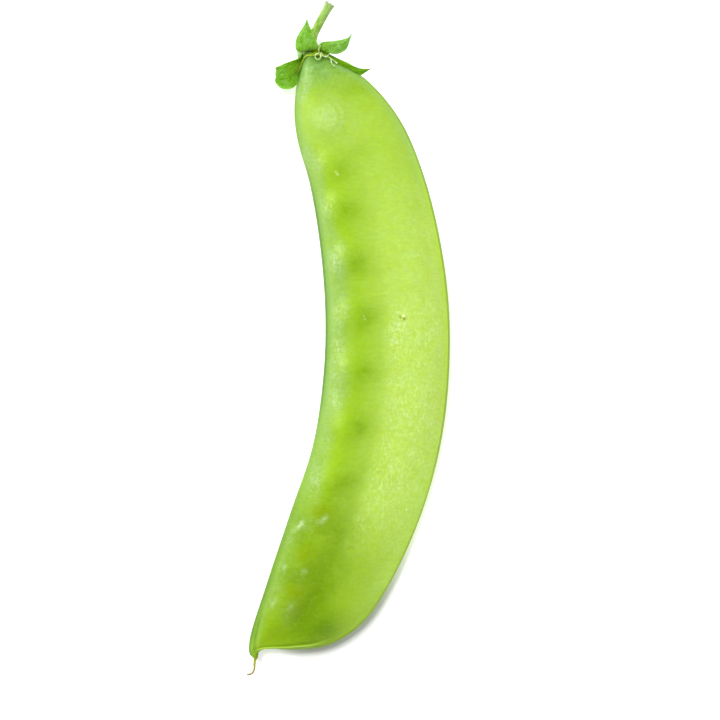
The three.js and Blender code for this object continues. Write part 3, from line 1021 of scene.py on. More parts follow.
bent = paint.shifted(place, 2.5 * MM, 0.8 * MM)
rising = paint.noise(paint.stretched(bent, (1.0, 0.42, 1.0), -0.6), 0.42 * MM, detail=2, roughness=0.6)
falling = paint.noise(paint.stretched(bent, (1.0, 0.5, 1.0), 0.7), 0.5 * MM, detail=2, roughness=0.6)
where = paint.spread(paint.noise(place, 4 * MM, detail=1), 0.4, 0.6)
strokes = paint.mix(where, paint.spread(rising, 0.48, 0.66), paint.spread(falling, 0.48, 0.66))
flecks = paint.times(strokes, paint.stored("fleck"), 0.42)
crusts = paint.times(paint.spread(frost, 0.44, 0.6), paint.spread(mottle, 0.42, 0.56, 0.1, 1.0))
crusts = paint.times(paint.stored("scaly"), crusts, 0.34)
scale = paint.spread(paint.cells(bent, 1.15 * MM), 0.1, 0.42, 1.0, 0.0)
scarce = paint.spread(paint.noise(place, 3 * MM, detail=2, roughness=0.7), 0.5, 0.64)
scales = paint.times(scale, scarce, paint.stored("fleck"), 0.22)
colour = coated(colour, [(flecks, FLECK_GREEN), (crusts, SCALE_GREEN), (scales, SCALE_GREEN)])

# %% Fine yellow and bluish mottling, and faint streaks
streak = paint.noise(paint.stretched(bent, (0.3, 1.0, 0.4), 0.5), 0.5 * MM, detail=3, roughness=0.6)
tinge = paint.noise(bent, 0.55 * MM, detail=3, roughness=0.7)
slow_tinge = paint.noise(paint.stretched(place, (1, 1, 1), 1.0), 2.4 * MM, detail=2)
DULL_YELLOW, FAINT_BLUE, HAZE = (250, 251, 226), (252, 253, 255), (150, 184, 100)
colour = paint.cover(colour, paint.spread(tinge, 0.48, 0.68, 0.0, 0.14), HAZE)
tints = [
    paint.ramp(tinge, [(0.34, DULL_YELLOW), (0.64, FAINT_BLUE)]),
    paint.ramp(slow_tinge, [(0.36, DULL_YELLOW), (0.64, FAINT_BLUE)]),
    paint.spread(streak, 0.3, 0.7, 0.97, 1.05),
    paint.spread(frost, 0.3, 0.7, 0.975, 1.045),
]
for tint in tints:
    colour = paint.mix(1.0, colour, tint, "MULTIPLY")

# %% [markdown]
# ## The seams' own lines
#
# Each seam shows as a thin line: dark along the seed seam, olive along the back, with a waxy or
# fresh green strip beside it and, along the beak, a pale lip. The lines could be thin pieces laid
# on the skin, but they are only a change of colour. The net stores how far each point is from
# either seam in millimetres. So a line is a band of that number, and another stored number says
# where along the seam it shows.

# %% Bands beside the seams
SEED_EDGE_GREEN = (56, 110, 2)
BACK_EDGE_GREEN = (122, 160, 0)
BACK_SHADE_GREEN = (174, 216, 40)
WAXY_EDGE = (146, 190, 104)
RIM_GREEN = (164, 198, 84)
BEVEL_GREEN = (136, 172, 84)


def band(seam, start, end, strength, mask):
    """A band that fades out from start to end, in millimetres from a seam, within a stored place."""
    return paint.times(paint.spread(paint.stored(seam), start, end, strength, 0.0), paint.stored(mask))


on_lip = paint.times(
    paint.spread(paint.stored("from_back"), 0.9, 1.25), paint.stored("rim"),
    paint.spread(paint.stored("from_back"), 1.3, 1.7, 0.8, 0.0),
)
SEAM_BANDS = [
    (band("from_seed", 1.2, 2.6, 0.25, "seed_edge"), WAXY_EDGE),
    (band("from_back", 0.5, 3.0, 0.42, "upper_back"), WAXY_EDGE),
    (band("from_back", 0.5, 1.0, 0.6, "rim"), BEVEL_GREEN),
    (on_lip, RIM_GREEN),
    (band("from_seed", 0.6, 1.6, 0.32, "seed_edge"), SEED_EDGE_GREEN),
    (band("from_seed", 0.3, 0.62, 0.85, "seed_dark"), SEED_EDGE_GREEN),
    (band("from_back", 0.5, 1.9, 0.55, "back_fresh"), BACK_SHADE_GREEN),
    (band("from_back", 0.3, 0.55, 0.95, "back_edge"), BACK_EDGE_GREEN),
]
colour = coated(colour, SEAM_BANDS)

# %% [markdown]
# ## Small marks, gloss and relief
#
# A real pod has a few scars: a brown spot with a pale edge where it rubbed, and tiny pale or dark
# points. The skin itself is satin, a little duller where the wax is thick, and light goes some way
# into it, which is what makes it look fresh. The marks could be painted on a picture, but each is
# only a soft spot, so a distance from its centre draws it. Its edge is torn by the frost noise,
# and the same noise gives the pores and the fine change of gloss, so they all agree.

# %% A few small marks
SCARS = [  # where on the upper wall, how wide in millimetres, how strong, its colour
    ((-2.3, 33.4), 0.7, 0.45, (214, 232, 150)), ((-2.7, 33.9), 0.6, 0.4, (214, 232, 150)),
    ((3.0, 4.7), 0.6, 0.4, (206, 226, 140)), ((3.2, 4.2), 0.6, 0.4, (206, 226, 140)),
    ((11.15, 4.25), 0.9, 0.9, (126, 140, 2)), ((10.4, 4.5), 0.8, 0.8, (134, 150, 2)),
    ((11.05, 4.8), 0.65, 0.9, (230, 238, 180)), ((7.1, 8.9), 0.4, 0.35, (120, 140, 10)),
    ((6.7, 8.9), 0.4, 0.35, (120, 140, 10)), ((0.85, -38.2), 0.3, 0.9, (90, 104, 4)),
    ((11.7, -34.5), 0.4, 0.9, (230, 240, 206)), ((-3.4, 55.6), 1.2, 0.3, (124, 160, 54)),
]

flat_place = paint.vector("MULTIPLY", place, (1, 1, 0))
raggedness = paint.spread(frost, 0.3, 0.7, 0.55, 1.6)
for (x, y), width, strength, green in SCARS:
    centre = tuple(onto_solid((x, y, 0)) * MM)
    gap = paint.times(paint.vector("DISTANCE", flat_place, centre), raggedness)
    inside = paint.spread(gap, 0.1 * width * MM, 0.6 * width * MM, strength, 0.0)
    colour = paint.cover(colour, inside, green)
print("the skin has", len(SCARS), "small marks")

# %% Gloss, relief and the finished skin
PORE_DEPTH = 0.05 * MM
DENT_SIZE, DENT_DEPTH = 2.2 * MM, 0.1 * MM
GREEN_GLOW = (0.6, 1.0, 0.25)  # how far red, green and blue light go into a green leaf or wall

pores = paint.bump(frost, PORE_DEPTH)
dents = paint.bump(paint.noise(place, DENT_SIZE, detail=2), DENT_DEPTH, below=pores)
satin = paint.spread(frost, 0.35, 0.65, 0.3, 0.42)
gloss = paint.maths("ADD", satin, paint.times(paint.stored("dull"), 0.25))
paint.finish(
    Base_Color=colour, Roughness=gloss, Normal=dents, Subsurface_Weight=0.25, Subsurface_Scale=2 * MM,
    Subsurface_Radius=GREEN_GLOW, Specular_IOR_Level=0.4, Specular_Tint=(0.9, 1.0, 0.3, 1),
)
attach(pod, "root")
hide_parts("pod")
print("the skin's material has", len(paint.tree.nodes), "nodes")

# %% [markdown]
# ## The calyx cup
#
# The flower's green cup stays on the pod. It has two rims: the outer one carries the sepals, and
# inside it, close round the pod's neck, a thin pale collar carries the stamen threads. Between
# them is a dark groove. It could be spun like a bowl, but the real one is oval, sags to one side
# and is uneven. So it is a net again: rings that follow a profile from the stalk over both rims
# and in to the neck, with the waviness added to each ring.

# %% The cup's net
CUP_MIDDLE = (-6.7, 5.3)  # across the pod and above the table, millimetres
CUP_FLATNESS = 0.84
CUP_PROFILE = [  # radius and place along the pod, from the stalk to the neck
    (0.4, 60.5), (0.85, 60.45), (1.35, 60.3), (2.0, 60.1), (2.6, 59.85), (3.0, 59.55), (3.15, 59.3),
    (3.12, 59.12), (2.98, 59.08), (2.8, 59.2), (2.6, 59.45), (2.35, 59.45), (2.25, 59.1), (2.35, 58.75),
    (2.62, 58.42), (2.84, 58.24), (2.86, 58.1), (2.74, 58.0), (2.55, 58.1), (2.3, 58.4), (1.5, 58.6),
]
CUP_GROWTH = 1.04  # beside the drawn radius, so that the collar goes round the neck
CUP_SHIFT = -0.5  # millimetres, because its upper rim looks that much further up
CUP_STEPS = 110
CUP_SIDES = 96
COLLAR_SAG = 0.45
TONGUE = 2.7  # how far the collar hangs down along the seed seam, millimetres
TONGUE_WIDTH = 0.42  # radians

drawn_profile = np.array(CUP_PROFILE) * (CUP_GROWTH, 1) + (0, CUP_SHIFT)
profile = at_shares(smooth_curve(drawn_profile), np.linspace(0, 1, CUP_STEPS))
angle = np.linspace(0, 2 * np.pi, CUP_SIDES, endpoint=False)
RADIUS, ANGLE = np.meshgrid(profile[:, 0], angle, indexing="ij")
LENGTHWISE = np.repeat(profile[:, 1:], CUP_SIDES, 1)
inner = ramp(np.linspace(0, 1, CUP_STEPS), 0.5, 0.72)[:, None]  # 0 outside, 1 on the collar
uneven = 0.05 * np.sin(3 * ANGLE + 1) + 0.035 * np.sin(7 * ANGLE + 4) + 0.02 * np.sin(13 * ANGLE)
sag = COLLAR_SAG * np.abs(np.cos(ANGLE)) ** 3
tongue = inner * TONGUE * hump(ANGLE, np.pi, TONGUE_WIDTH)
CUP = np.dstack([
    CUP_MIDDLE[0] + (RADIUS * (1 + 0.3 * uneven) + 0.32 * tongue) * np.cos(ANGLE),
    LENGTHWISE + inner * (uneven - sag) - tongue,
    CUP_MIDDLE[1] + RADIUS * CUP_FLATNESS * (1 + 0.3 * uneven) * np.sin(ANGLE),
])
cup_ends = [onto_solid(CUP[ring].mean(0)) * MM for ring in (0, -1)]
cup = closed_net("calyx_cup_and_collar", onto_solid(CUP) * MM, *cup_ends)
cup_along = np.repeat(np.linspace(0, 1, CUP_STEPS)[:, None], CUP_SIDES, 1)
add_attribute(cup, "along", cup_along, (0, 1))
add_attribute(cup, "around", ANGLE / (2 * np.pi))

# %% [markdown]
# ## The cup's colours
#
# The cup is a fresh yellow green, its collar paler and drier, and the groove between them lies in
# shade, with light that came through the thin wall. Two materials on two parts of the mesh would
# leave a hard line between them. The net knows how far along the profile and how far round each
# point is, so one material changes from the outside to the groove to the collar. Fine veins run
# along all of it: a noise that is stretched along the stalk.

# %% Green outside, dark in the groove, a pale yellow collar
VEIN_SIZE = 0.8 * MM
TONGUE_GREEN = (96, 116, 8)

paint = Paint("calyx_cup")
along = paint.stored("along")
veins = paint.noise(paint.stretched(paint.place(), (2.5, 0.6, 2.5)), VEIN_SIZE, detail=4)
outside = paint.ramp(veins, [(0.3, (110, 160, 10)), (0.7, (140, 180, 24))])
collar = paint.ramp(veins, [(0.3, (134, 164, 24)), (0.7, (176, 196, 70))])
in_groove = paint.times(paint.spread(along, 0.3, 0.38), paint.spread(along, 0.7, 0.77, 1.0, 0.0))
shadow = paint.ramp(veins, [(0.35, (122, 168, 0)), (0.65, (168, 186, 8))])
colour = paint.mix(paint.spread(along, 0.5, 0.6), outside, collar)
off_centre = paint.maths("ABSOLUTE", paint.maths("SUBTRACT", paint.stored("around"), 0.5))
in_tongue = paint.spread(off_centre, 0.05, 0.11, 0.6, 0.0)
colour = paint.mix(in_groove, paint.cover(colour, in_tongue, TONGUE_GREEN), shadow)
paint.finish(
    Base_Color=colour, Roughness=0.5, Normal=paint.bump(veins, 0.15 * MM), Subsurface_Weight=0.15,
    Subsurface_Scale=0.6 * MM, Subsurface_Radius=GREEN_GLOW, Specular_IOR_Level=0.35,
)
cup.data.materials.append(paint.material)
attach(cup, "root")
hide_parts("calyx_cup")

# %% [markdown]
# ## The five sepals
#
# A sepal is a small stiff leaf, thick at its base and drawn out to a fine tip. A flat leaf shape
# with a bend would do from one side, but each of these is twisted its own way: one is bent back
# along the stalk, one rolls its tip under, one stands on edge against the pod's shoulder. So each
# is stretched between its own two edges, drawn in space from base to tip. The sheet bulges between
# them, sinks in along the midrib, waves a little at the margins, and thins out towards them.

# %% The edges of each sepal, from base to tip
SEPALS = {  # richness is how deep its green is at the base and at the tip
    "sepal_upper_left": {
        "left": [
            (-8.5, 59.95, 7.5), (-9.3, 59.3, 7.8), (-10.1, 58.7, 8.0), (-10.75, 59.1, 8.1),
            (-10.96, 60.2, 8.3), (-10.8, 61.4, 8.5), (-10.35, 62.5, 8.6), (-9.65, 63.6, 8.7),
            (-8.95, 64.7, 8.9), (-8.6, 65.8, 9.3),
        ],
        "right": [
            (-7.5, 59.9, 7.6), (-6.9, 59.55, 8.0), (-6.45, 59.4, 8.5), (-6.4, 59.9, 8.9),
            (-6.65, 61.0, 9.2), (-7.05, 62.0, 9.3), (-7.5, 63.05, 9.25), (-8.05, 64.1, 9.15),
            (-8.35, 64.9, 9.15), (-8.6, 65.8, 9.3),
        ],
        "bulge": 0.34,
        "richness": (0.1, 0.2),
        "arch": 0.75,
    },
    "sepal_upper_right": {
        "left": [
            (-6.3, 59.5, 7.7), (-6.2, 60.0, 8.1), (-5.7, 60.6, 8.4), (-4.6, 60.95, 8.6),
            (-3.2, 61.05, 8.7), (-2.1, 61.25, 8.75), (-0.94, 61.5, 8.8), (-0.1, 61.85, 8.9),
            (0.75, 62.8, 9.3),
        ],
        "right": [
            (-5.4, 59.0, 7.5), (-5.0, 58.8, 7.8), (-4.4, 58.65, 8.2), (-3.5, 58.4, 8.4),
            (-2.4, 58.35, 8.5), (-1.2, 58.8, 8.6), (-0.44, 59.5, 8.7), (0.05, 60.75, 8.9),
            (0.75, 62.8, 9.3),
        ],
        "bulge": 0.3,
        "richness": (0.95, 0.0),
        "frost": 0.09,
    },
    "sepal_lower_left": {
        "left": [
            (-9.3, 58.5, 5.4), (-9.8, 57.8, 5.8), (-10.7, 57.35, 6.0), (-11.9, 56.95, 6.1),
            (-13.1, 56.5, 6.0), (-14.2, 56.0, 5.7), (-14.95, 55.7, 5.2), (-15.15, 55.4, 4.4),
            (-14.9, 55.1, 3.7), (-14.3, 54.8, 3.3), (-13.4, 54.2, 3.0),
        ],
        "right": [
            (-9.2, 57.4, 3.8), (-9.3, 56.2, 3.8), (-9.6, 54.6, 3.9), (-10.2, 52.9, 4.1),
            (-11.2, 51.6, 4.3), (-12.6, 51.15, 4.4), (-14.0, 51.5, 4.4), (-15.0, 52.6, 4.1),
            (-14.9, 53.3, 3.4), (-14.3, 53.9, 3.1), (-13.4, 54.2, 3.0),
        ],
        "bulge": 0.12,
        "richness": (1.0, 0.2),
    },
    "sepal_lower_right": {
        "left": [
            (-4.2, 58.55, 6.6), (-3.55, 58.15, 6.6), (-2.3, 57.5, 6.5), (-1.1, 56.9, 6.4),
            (0.1, 56.35, 6.3), (1.2, 55.85, 6.1), (2.2, 55.5, 5.9), (3.1, 55.35, 5.7), (3.9, 55.35, 5.4),
            (4.75, 55.5, 5.1),
        ],
        "right": [
            (-4.45, 57.85, 6.7), (-3.55, 57.1, 6.5), (-2.1, 56.2, 6.2), (-0.7, 55.4, 5.9),
            (0.5, 54.8, 5.7), (1.6, 54.2, 5.5), (2.4, 54.05, 5.3), (3.1, 54.45, 5.2), (3.85, 54.95, 5.1),
            (4.75, 55.5, 5.1),
        ],
        "bulge": 0.25,
        "richness": (1.0, 0.9),
    },
    "sepal_under": {
        "left": [
            (-8.3, 59.25, 3.7), (-9.45, 58.1, 3.0), (-10.3, 57.45, 2.4), (-10.6, 58.1, 1.9),
            (-10.35, 59.9, 1.2), (-9.9, 61.3, 0.9), (-9.3, 62.2, 0.9), (-8.4, 62.9, 1.3),
        ],
        "right": [
            (-6.9, 59.4, 3.6), (-6.2, 59.0, 2.5), (-6.1, 59.5, 1.3), (-6.4, 60.3, 0.9),
            (-6.8, 61.1, 0.75), (-7.2, 61.8, 0.8), (-7.7, 62.4, 1.0), (-8.4, 62.9, 1.3),
        ],
        "bulge": 0.3,
        "richness": (0.0, 0.2),
        "frost": 0.6,
    },
}
print("the sepals have", sum(len(s["left"]) + len(s["right"]) for s in SEPALS.values()), "drawn points")

# %% A leaf stretched between two edges
LEAF_RINGS = 90
LEAF_ACROSS = 40
TIP_CROWDING = 0.4  # 0 spaces the rings evenly, 1 crowds them at base and tip
LEAF_THICKNESS = 0.26  # millimetres, at the base
LEAF_THINS = 0.55  # the share of it that is lost on the way to the tip
MIDRIB_DEPTH, MIDRIB_WIDTH = 0.07, 0.2
MARGIN_WAVE = 0.12
FACE_WAVE = 0.05
ARCH_PLACE, ARCH_REACH = 0.17, 0.15  # where along the leaf it is arched over the cup


def at_knots(line, shares):
    """The points at these shares of a line, counted in its points and not by its length."""
    index = shares * (len(line) - 1)
    return np.stack([np.interp(index, np.arange(len(line)), line[:, k]) for k in range(3)], -1)


def leaf(name, left, right, bulge, richness, seed, arch=0.0, frost=0.0):
    """A closed thin sheet between two edges in space, with its place along and across stored on it."""
    u = crowded(LEAF_RINGS, TIP_CROWDING)
    edges = (smooth_curve(under_camera(edge)) for edge in (left, right))
    left_edge, right_edge = (at_knots(edge, u) for edge in edges)
    middle, reach = (left_edge + right_edge) / 2, (right_edge - left_edge) / 2
    forward = np.gradient(middle, axis=0)
    up = np.cross(reach, forward)
    up /= np.linalg.norm(up, axis=1)[:, None] + 1e-9
    for _ in range(6):  # the sheet turns smoothly from base to tip
        up[1:-1] = (up[:-2] + 2 * up[1:-1] + up[2:]) / 4
    half_width = np.linalg.norm(reach, axis=1)[:, None]
    narrow = np.minimum(half_width, 1)

    v = np.sin(np.linspace(-1, 1, LEAF_ACROSS + 1) * np.pi / 2)
    v_ring = np.concatenate([v, v[-2:0:-1]])
    face = np.concatenate([np.ones(LEAF_ACROSS + 1), -np.ones(LEAF_ACROSS - 1)])
    U, V = np.meshgrid(u, v_ring, indexing="ij")
    lift = bulge * half_width * (1 - V**2) - MIDRIB_DEPTH * narrow * hump(V, 0, MIDRIB_WIDTH)
    lift += MARGIN_WAVE * narrow * V**2 * np.sin(9 * U + 2.5 * V + seed)
    lift += FACE_WAVE * narrow * np.sin(17 * U + 6 * V + 2 * seed)
    body = LEAF_THICKNESS * (1 - LEAF_THINS * U) * np.sqrt(np.clip(1.04 - V**2, 0, 1))
    body *= np.minimum(1, half_width / 0.35)
    towards_tip = (middle[-1] - middle[0]) / np.linalg.norm(middle[-1] - middle[0])
    arched = arch * (1 - V**2) * hump(U, ARCH_PLACE, ARCH_REACH)
    surface = middle[:, None] + reach[:, None] * V[..., None]
    surface += up[:, None] * (lift + face * body / 2)[..., None]
    grid = onto_solid(surface + arched[..., None] * towards_tip) * MM
    made = closed_net(name, grid, grid[0].mean(0), grid[-1].mean(0))
    add_attribute(made, "along", U, (0, 1))
    add_attribute(made, "across", V)
    base, tip = richness
    add_attribute(made, "rich", tip + (base - tip) * (1 - U) ** 2)
    add_attribute(made, "frost", frost * np.minimum(2.5 * U, 1))
    return made


WAVE_SHIFT = 1.7  # so that no two sepals wave alike
leaves = {}
for number, (node, shape) in enumerate(SEPALS.items()):
    leaves[node] = leaf(node + "_leaf", **shape, seed=WAVE_SHIFT * number)

# %% [markdown]
# ## The sepals' green
#
# A sepal has fine veins that run together at its tip, a net of finer ones between them, a paler
# margin and a dry brown tip. The lower ones are a deep fresh green, the upper ones bluish with
# frost. A noise in metres would run straight across a bent leaf. So the veins are a noise of the
# leaf's own two numbers, its place along and across: they follow every bend and narrow to the tip.
# One material serves all five, and what differs between them is stored on each.

# %% The leaf's colours
LEAF_GREEN = (100, 158, 24)
LEAF_BLUE = (128, 182, 88)
LEAF_RICH = (94, 152, 0)
LEAF_BASE = (108, 150, 0)
RICH_TINT = (255, 255, 150)
LEAF_VEIN = (148, 194, 84)
LEAF_DARK = (58, 108, 6)
LEAF_MARGIN = (160, 192, 90)
LEAF_TIP = (100, 108, 30)
LEAF_FROST = (176, 204, 160)
LEAF_SPECKLE = (218, 226, 190)
WHITE = (255, 255, 255)

# %% Veins, colours and relief of a leaf
paint = Paint("sepal_leaf")
along, across, rich = paint.stored("along"), paint.stored("across"), paint.stored("rich")
cloud = paint.noise(paint.place(), 1.6 * MM, detail=4, roughness=0.6)
narrowing = paint.maths("SUBTRACT", 1.0, paint.times(along, 0.4))
lane = paint.times(across, narrowing, 9.0)
on_leaf = paint.combined(lane, paint.times(along, 2.2), 0.0)
streaks = paint.noise(on_leaf, 1.0, detail=4, roughness=0.6, distortion=0.4)
net_place = paint.shifted(paint.stretched(on_leaf, (1.2, 5.0, 1.0)), 0.8, 0.25)
net = paint.cells(net_place, 1.0, "DISTANCE_TO_EDGE")
net_line = paint.spread(net, 0.02, 0.16, 1.0, 0.0)
loose_rich = paint.times(rich, paint.spread(cloud, 0.3, 0.6, 1.3, 0.7))
at_base = paint.times(rich, paint.spread(along, 0.2, 0.5, 0.7, 0.0))
edgewise = paint.maths("ABSOLUTE", across)
speckle = paint.noise(paint.place(), 0.45 * MM, detail=3, roughness=0.7)
speckled = paint.ramp(speckle, [(0.34, LEAF_SPECKLE), (0.6, WHITE)])

colour = paint.mix(paint.spread(cloud, 0.4, 0.58), linear(*LEAF_GREEN), linear(*LEAF_BLUE))
colour = coated(colour, [
    (paint.maths("MINIMUM", loose_rich, 1.0), LEAF_RICH),
    (paint.times(net_line, 0.35), LEAF_VEIN),
    (paint.spread(streaks, 0.52, 0.72, 0.0, 0.8), LEAF_VEIN),
    (paint.times(at_base, paint.spread(cloud, 0.38, 0.5, 0.5, 1.0)), LEAF_BASE),
    (paint.spread(streaks, 0.3, 0.47, 0.85, 0.0), LEAF_DARK),
    (paint.spread(edgewise, 0.01, 0.06, 0.25, 0.0), LEAF_VEIN),
    (paint.spread(edgewise, 0.9, 0.98, 0.0, 0.6), LEAF_MARGIN),
    (paint.spread(along, 0.93, 1.0, 0.0, 0.8), LEAF_TIP),
])
colour = paint.mix(1.0, colour, speckled, "MULTIPLY")
colour = paint.cover(colour, paint.times(rich, 0.9), RICH_TINT, "MULTIPLY")
colour = paint.cover(colour, paint.times(paint.stored("frost"), 0.7), LEAF_FROST)
relief = paint.bump(streaks, 0.16 * MM, paint.bump(net, 0.06 * MM))
paint.finish(
    Base_Color=colour, Roughness=0.48, Normal=relief, Subsurface_Weight=0.2, Subsurface_Scale=0.5 * MM,
    Subsurface_Radius=GREEN_GLOW, Specular_IOR_Level=0.08, Specular_Tint=(0.9, 1.0, 0.6, 1),
)
for node, made in leaves.items():
    made.data.materials.append(paint.material)
    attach(made, "root")
    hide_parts(node)

# %% [markdown]
# ## Stalk, style and stamen threads
#
# The stalk, the dried style and the threads are all the same kind of thing: a path in space with
# a thickness that changes along it, ribbed on the stalk and twisted and shrunk on the dry threads.
# Curves with a bevel could do it, but ribs, taper and shrinking are simpler as one Geometry Nodes
# tree that sweeps a small ribbed ring along any path, and is used for all of them with other
# numbers.

# %% The path's thickness, and its turn
FOOT_STEEPNESS, END_STEEPNESS = 9.0, 14.0  # how suddenly a stem widens at its two ends

stem = Tree(
    "stem_along_path", Radius=float, End_Radius=float, Base_Flare=float, End_Flare=float, Ribs=float,
    Rib_Depth=float, Twist=float, Sides=int, Steps=int, Shrink=float, Lump=float,
    Material=bpy.types.Material,
)
path = stem.spaced(stem["Geometry"], stem["Steps"])
share = stem.step("GeometryNodeSplineParameter").outputs["Factor"]
taper = stem.step("ShaderNodeMapRange", in_0=share, in_3=stem["Radius"], in_4=stem["End_Radius"]).outputs[0]
back = stem.maths("SUBTRACT", 1.0, share)
foot = stem.maths("MULTIPLY", stem.maths("POWER", back, FOOT_STEEPNESS), stem["Base_Flare"])
flare = stem.maths("MULTIPLY", stem.maths("POWER", share, END_STEEPNESS), stem["End_Flare"])
girth = stem.maths("MULTIPLY", taper, stem.maths("ADD", stem.maths("ADD", foot, flare), 1.0))
twist = stem.maths("MULTIPLY", share, stem["Twist"])
path = stem.marked(path, "along", share)
turned = stem.step("GeometryNodeSetCurveTilt", Curve=path, Tilt=twist).outputs[0]

# %% The ribbed ring, swept along the path
ring = stem.step("GeometryNodeCurvePrimitiveCircle", Resolution=stem["Sides"], Radius=1.0).outputs[0]
around = stem.step("GeometryNodeSplineParameter").outputs["Factor"]
phase = stem.maths("MULTIPLY", stem.maths("MULTIPLY", around, stem["Ribs"]), 2 * math.pi)
ridge = stem.maths("MULTIPLY", stem.maths("COSINE", phase), stem["Rib_Depth"])
here = stem.step("GeometryNodeInputPosition").outputs[0]
ribbed = stem.moved(ring, stem.scaled(here, ridge))
profile = stem.marked(ribbed, "around", around)
swept = stem.step("GeometryNodeCurveToMesh", Curve=turned, in_1=profile, Scale=girth, Fill_Caps=True)

# %% Dry lumps, and the tree's end
lumps = stem.maths("SUBTRACT", stem.cloudy(here, stem["Lump"]), 0.5)
swell = stem.maths("MULTIPLY", lumps, stem["Shrink"])
facing = stem.step("GeometryNodeInputNormal").outputs[0]
rough = stem.moved(swept.outputs[0], stem.scaled(facing, swell))
stem.finish(stem.step("GeometryNodeSetShadeSmooth", Geometry=rough).outputs[0], stem["Material"])
print(stem.group.name, "has", len(stem.group.nodes), "nodes")

# %% A stem along drawn points
PLAIN_STEM = {  # what a stem has if nothing else is asked for
    "Base_Flare": 0.0, "End_Flare": 0.0, "Ribs": 5.0, "Twist": 0.0, "Sides": 24, "Steps": 60,
    "Lump": 0.5 * MM,
}


def grown(name, knots, paint, **values):
    """A finished stem along these drawn points, as a plain closed mesh."""
    path = path_object(name, onto_solid(smooth_curve(under_camera(knots))[::4]) * MM)
    made = stem.apply(path, Material=paint.material, **(PLAIN_STEM | values))
    if enclosed(made.data) < 0:
        made.data.flip_normals()
    print(name, "has", len(made.data.polygons), "faces around", round(enclosed(made.data), 2), "cubic mm")
    return made


# %% The stalk's green, with pale ribs, brown spots and a dry end
STALK_BROWN = (126, 116, 46)
STALK_FOOT = (112, 146, 44)
STALK_FROST = (180, 212, 144)
STALK_DRY = (128, 156, 96)

paint = Paint("stalk")
along, around = paint.stored("along"), paint.stored("around")
on_stalk = paint.combined(paint.times(around, 9.0), paint.times(along, 5.0), 0.0)
streaks = paint.noise(on_stalk, 0.8, detail=3)
colour = paint.ramp(streaks, [(0.3, (104, 150, 30)), (0.5, (130, 168, 56)), (0.7, (160, 190, 100))])
spots_of_brown = paint.noise(paint.stretched(on_stalk, (1.0, 1.4, 1.0)), 0.35, detail=2)
brown = paint.times(paint.spread(spots_of_brown, 0.6, 0.72), paint.spread(along, 0.7, 0.9, 0.35, 0.0))
colour = coated(colour, [
    (brown, STALK_BROWN),
    (paint.spread(along, 0.0, 0.14, 0.6, 0.0), STALK_FOOT),
    (paint.spread(along, 0.4, 0.9, 0.0, 0.3), STALK_FROST),
    (paint.spread(along, 0.975, 1.0, 0.0, 0.75), STALK_DRY),
])
paint.finish(
    Base_Color=colour, Roughness=0.45, Normal=paint.bump(streaks, 0.15 * MM), Subsurface_Weight=0.2,
    Subsurface_Scale=0.6 * MM, Subsurface_Radius=GREEN_GLOW, Specular_IOR_Level=0.4,
)

# %% The stalk
STALK = [
    (-7.6, 60.3, 5.35), (-7.5, 61.3, 5.4), (-7.1, 62.6, 5.5), (-6.2, 64.4, 5.6), (-5.2, 66.2, 5.75),
    (-4.5, 67.45, 5.9), (-3.9, 68.6, 6.3),
]
STALK_RADIUS = 0.86 * MM

stalk = grown(
    "cut_stalk", STALK, paint, Radius=0.96 * STALK_RADIUS, End_Radius=1.04 * STALK_RADIUS,
    Base_Flare=0.2, End_Flare=0.2, Ribs=7.0, Rib_Depth=0.045, Sides=84, Steps=120, Twist=0.7,
    Shrink=0.05 * MM, Lump=1.2 * MM,
)

# %% [markdown]
# ## The torn end of the stalk
#
# The cut isn't clean: the stalk's skin stands up in torn fibres round a paler core, longest at the
# left. The fibres could be set by hand, but there are dozens and their order has no meaning. So
# Geometry Nodes put a small pointed fibre on every point of a ring round the stalk's end, each one
# with its own length, lean and turn, from a fixed seed.

# %% The tree that stands fibres on a ring
fibres = Tree(
    "torn_fibres", Count=int, Centre=Vector, Along=Vector, Tall_Side=Vector, Length=float, Thickness=float,
    Lean=float, Seed=int, Material=bpy.types.Material,
)
feet = fibres.spaced(fibres["Geometry"], fibres["Count"])
here = fibres.step("GeometryNodeInputPosition").outputs[0]
from_centre = fibres.vector("SUBTRACT", in_0=here, in_1=fibres["Centre"]).outputs[0]
outward = fibres.vector("NORMALIZE", in_0=from_centre).outputs[0]
on_tall_side = fibres.vector("DOT_PRODUCT", in_0=outward, in_1=fibres["Tall_Side"]).outputs["Value"]


def by_side(low, high):
    """A number that goes from low, opposite the tall side, to high on it."""
    inputs = {"in_0": on_tall_side, "in_1": -1.0, "in_2": 1.0, "in_3": low, "in_4": high}
    return fibres.step("ShaderNodeMapRange", **inputs).outputs[0]


# %% Each fibre's own lean and length
LEAN_OPPOSITE, LEAN_TALL = 1.6, 0.2
LENGTH_OPPOSITE, LENGTH_TALL = 0.6, 1.5
LENGTH_CHANCE = (0.4, 1.2)
LEAN_CHANCE = (0.22, 0.22, 0.22)

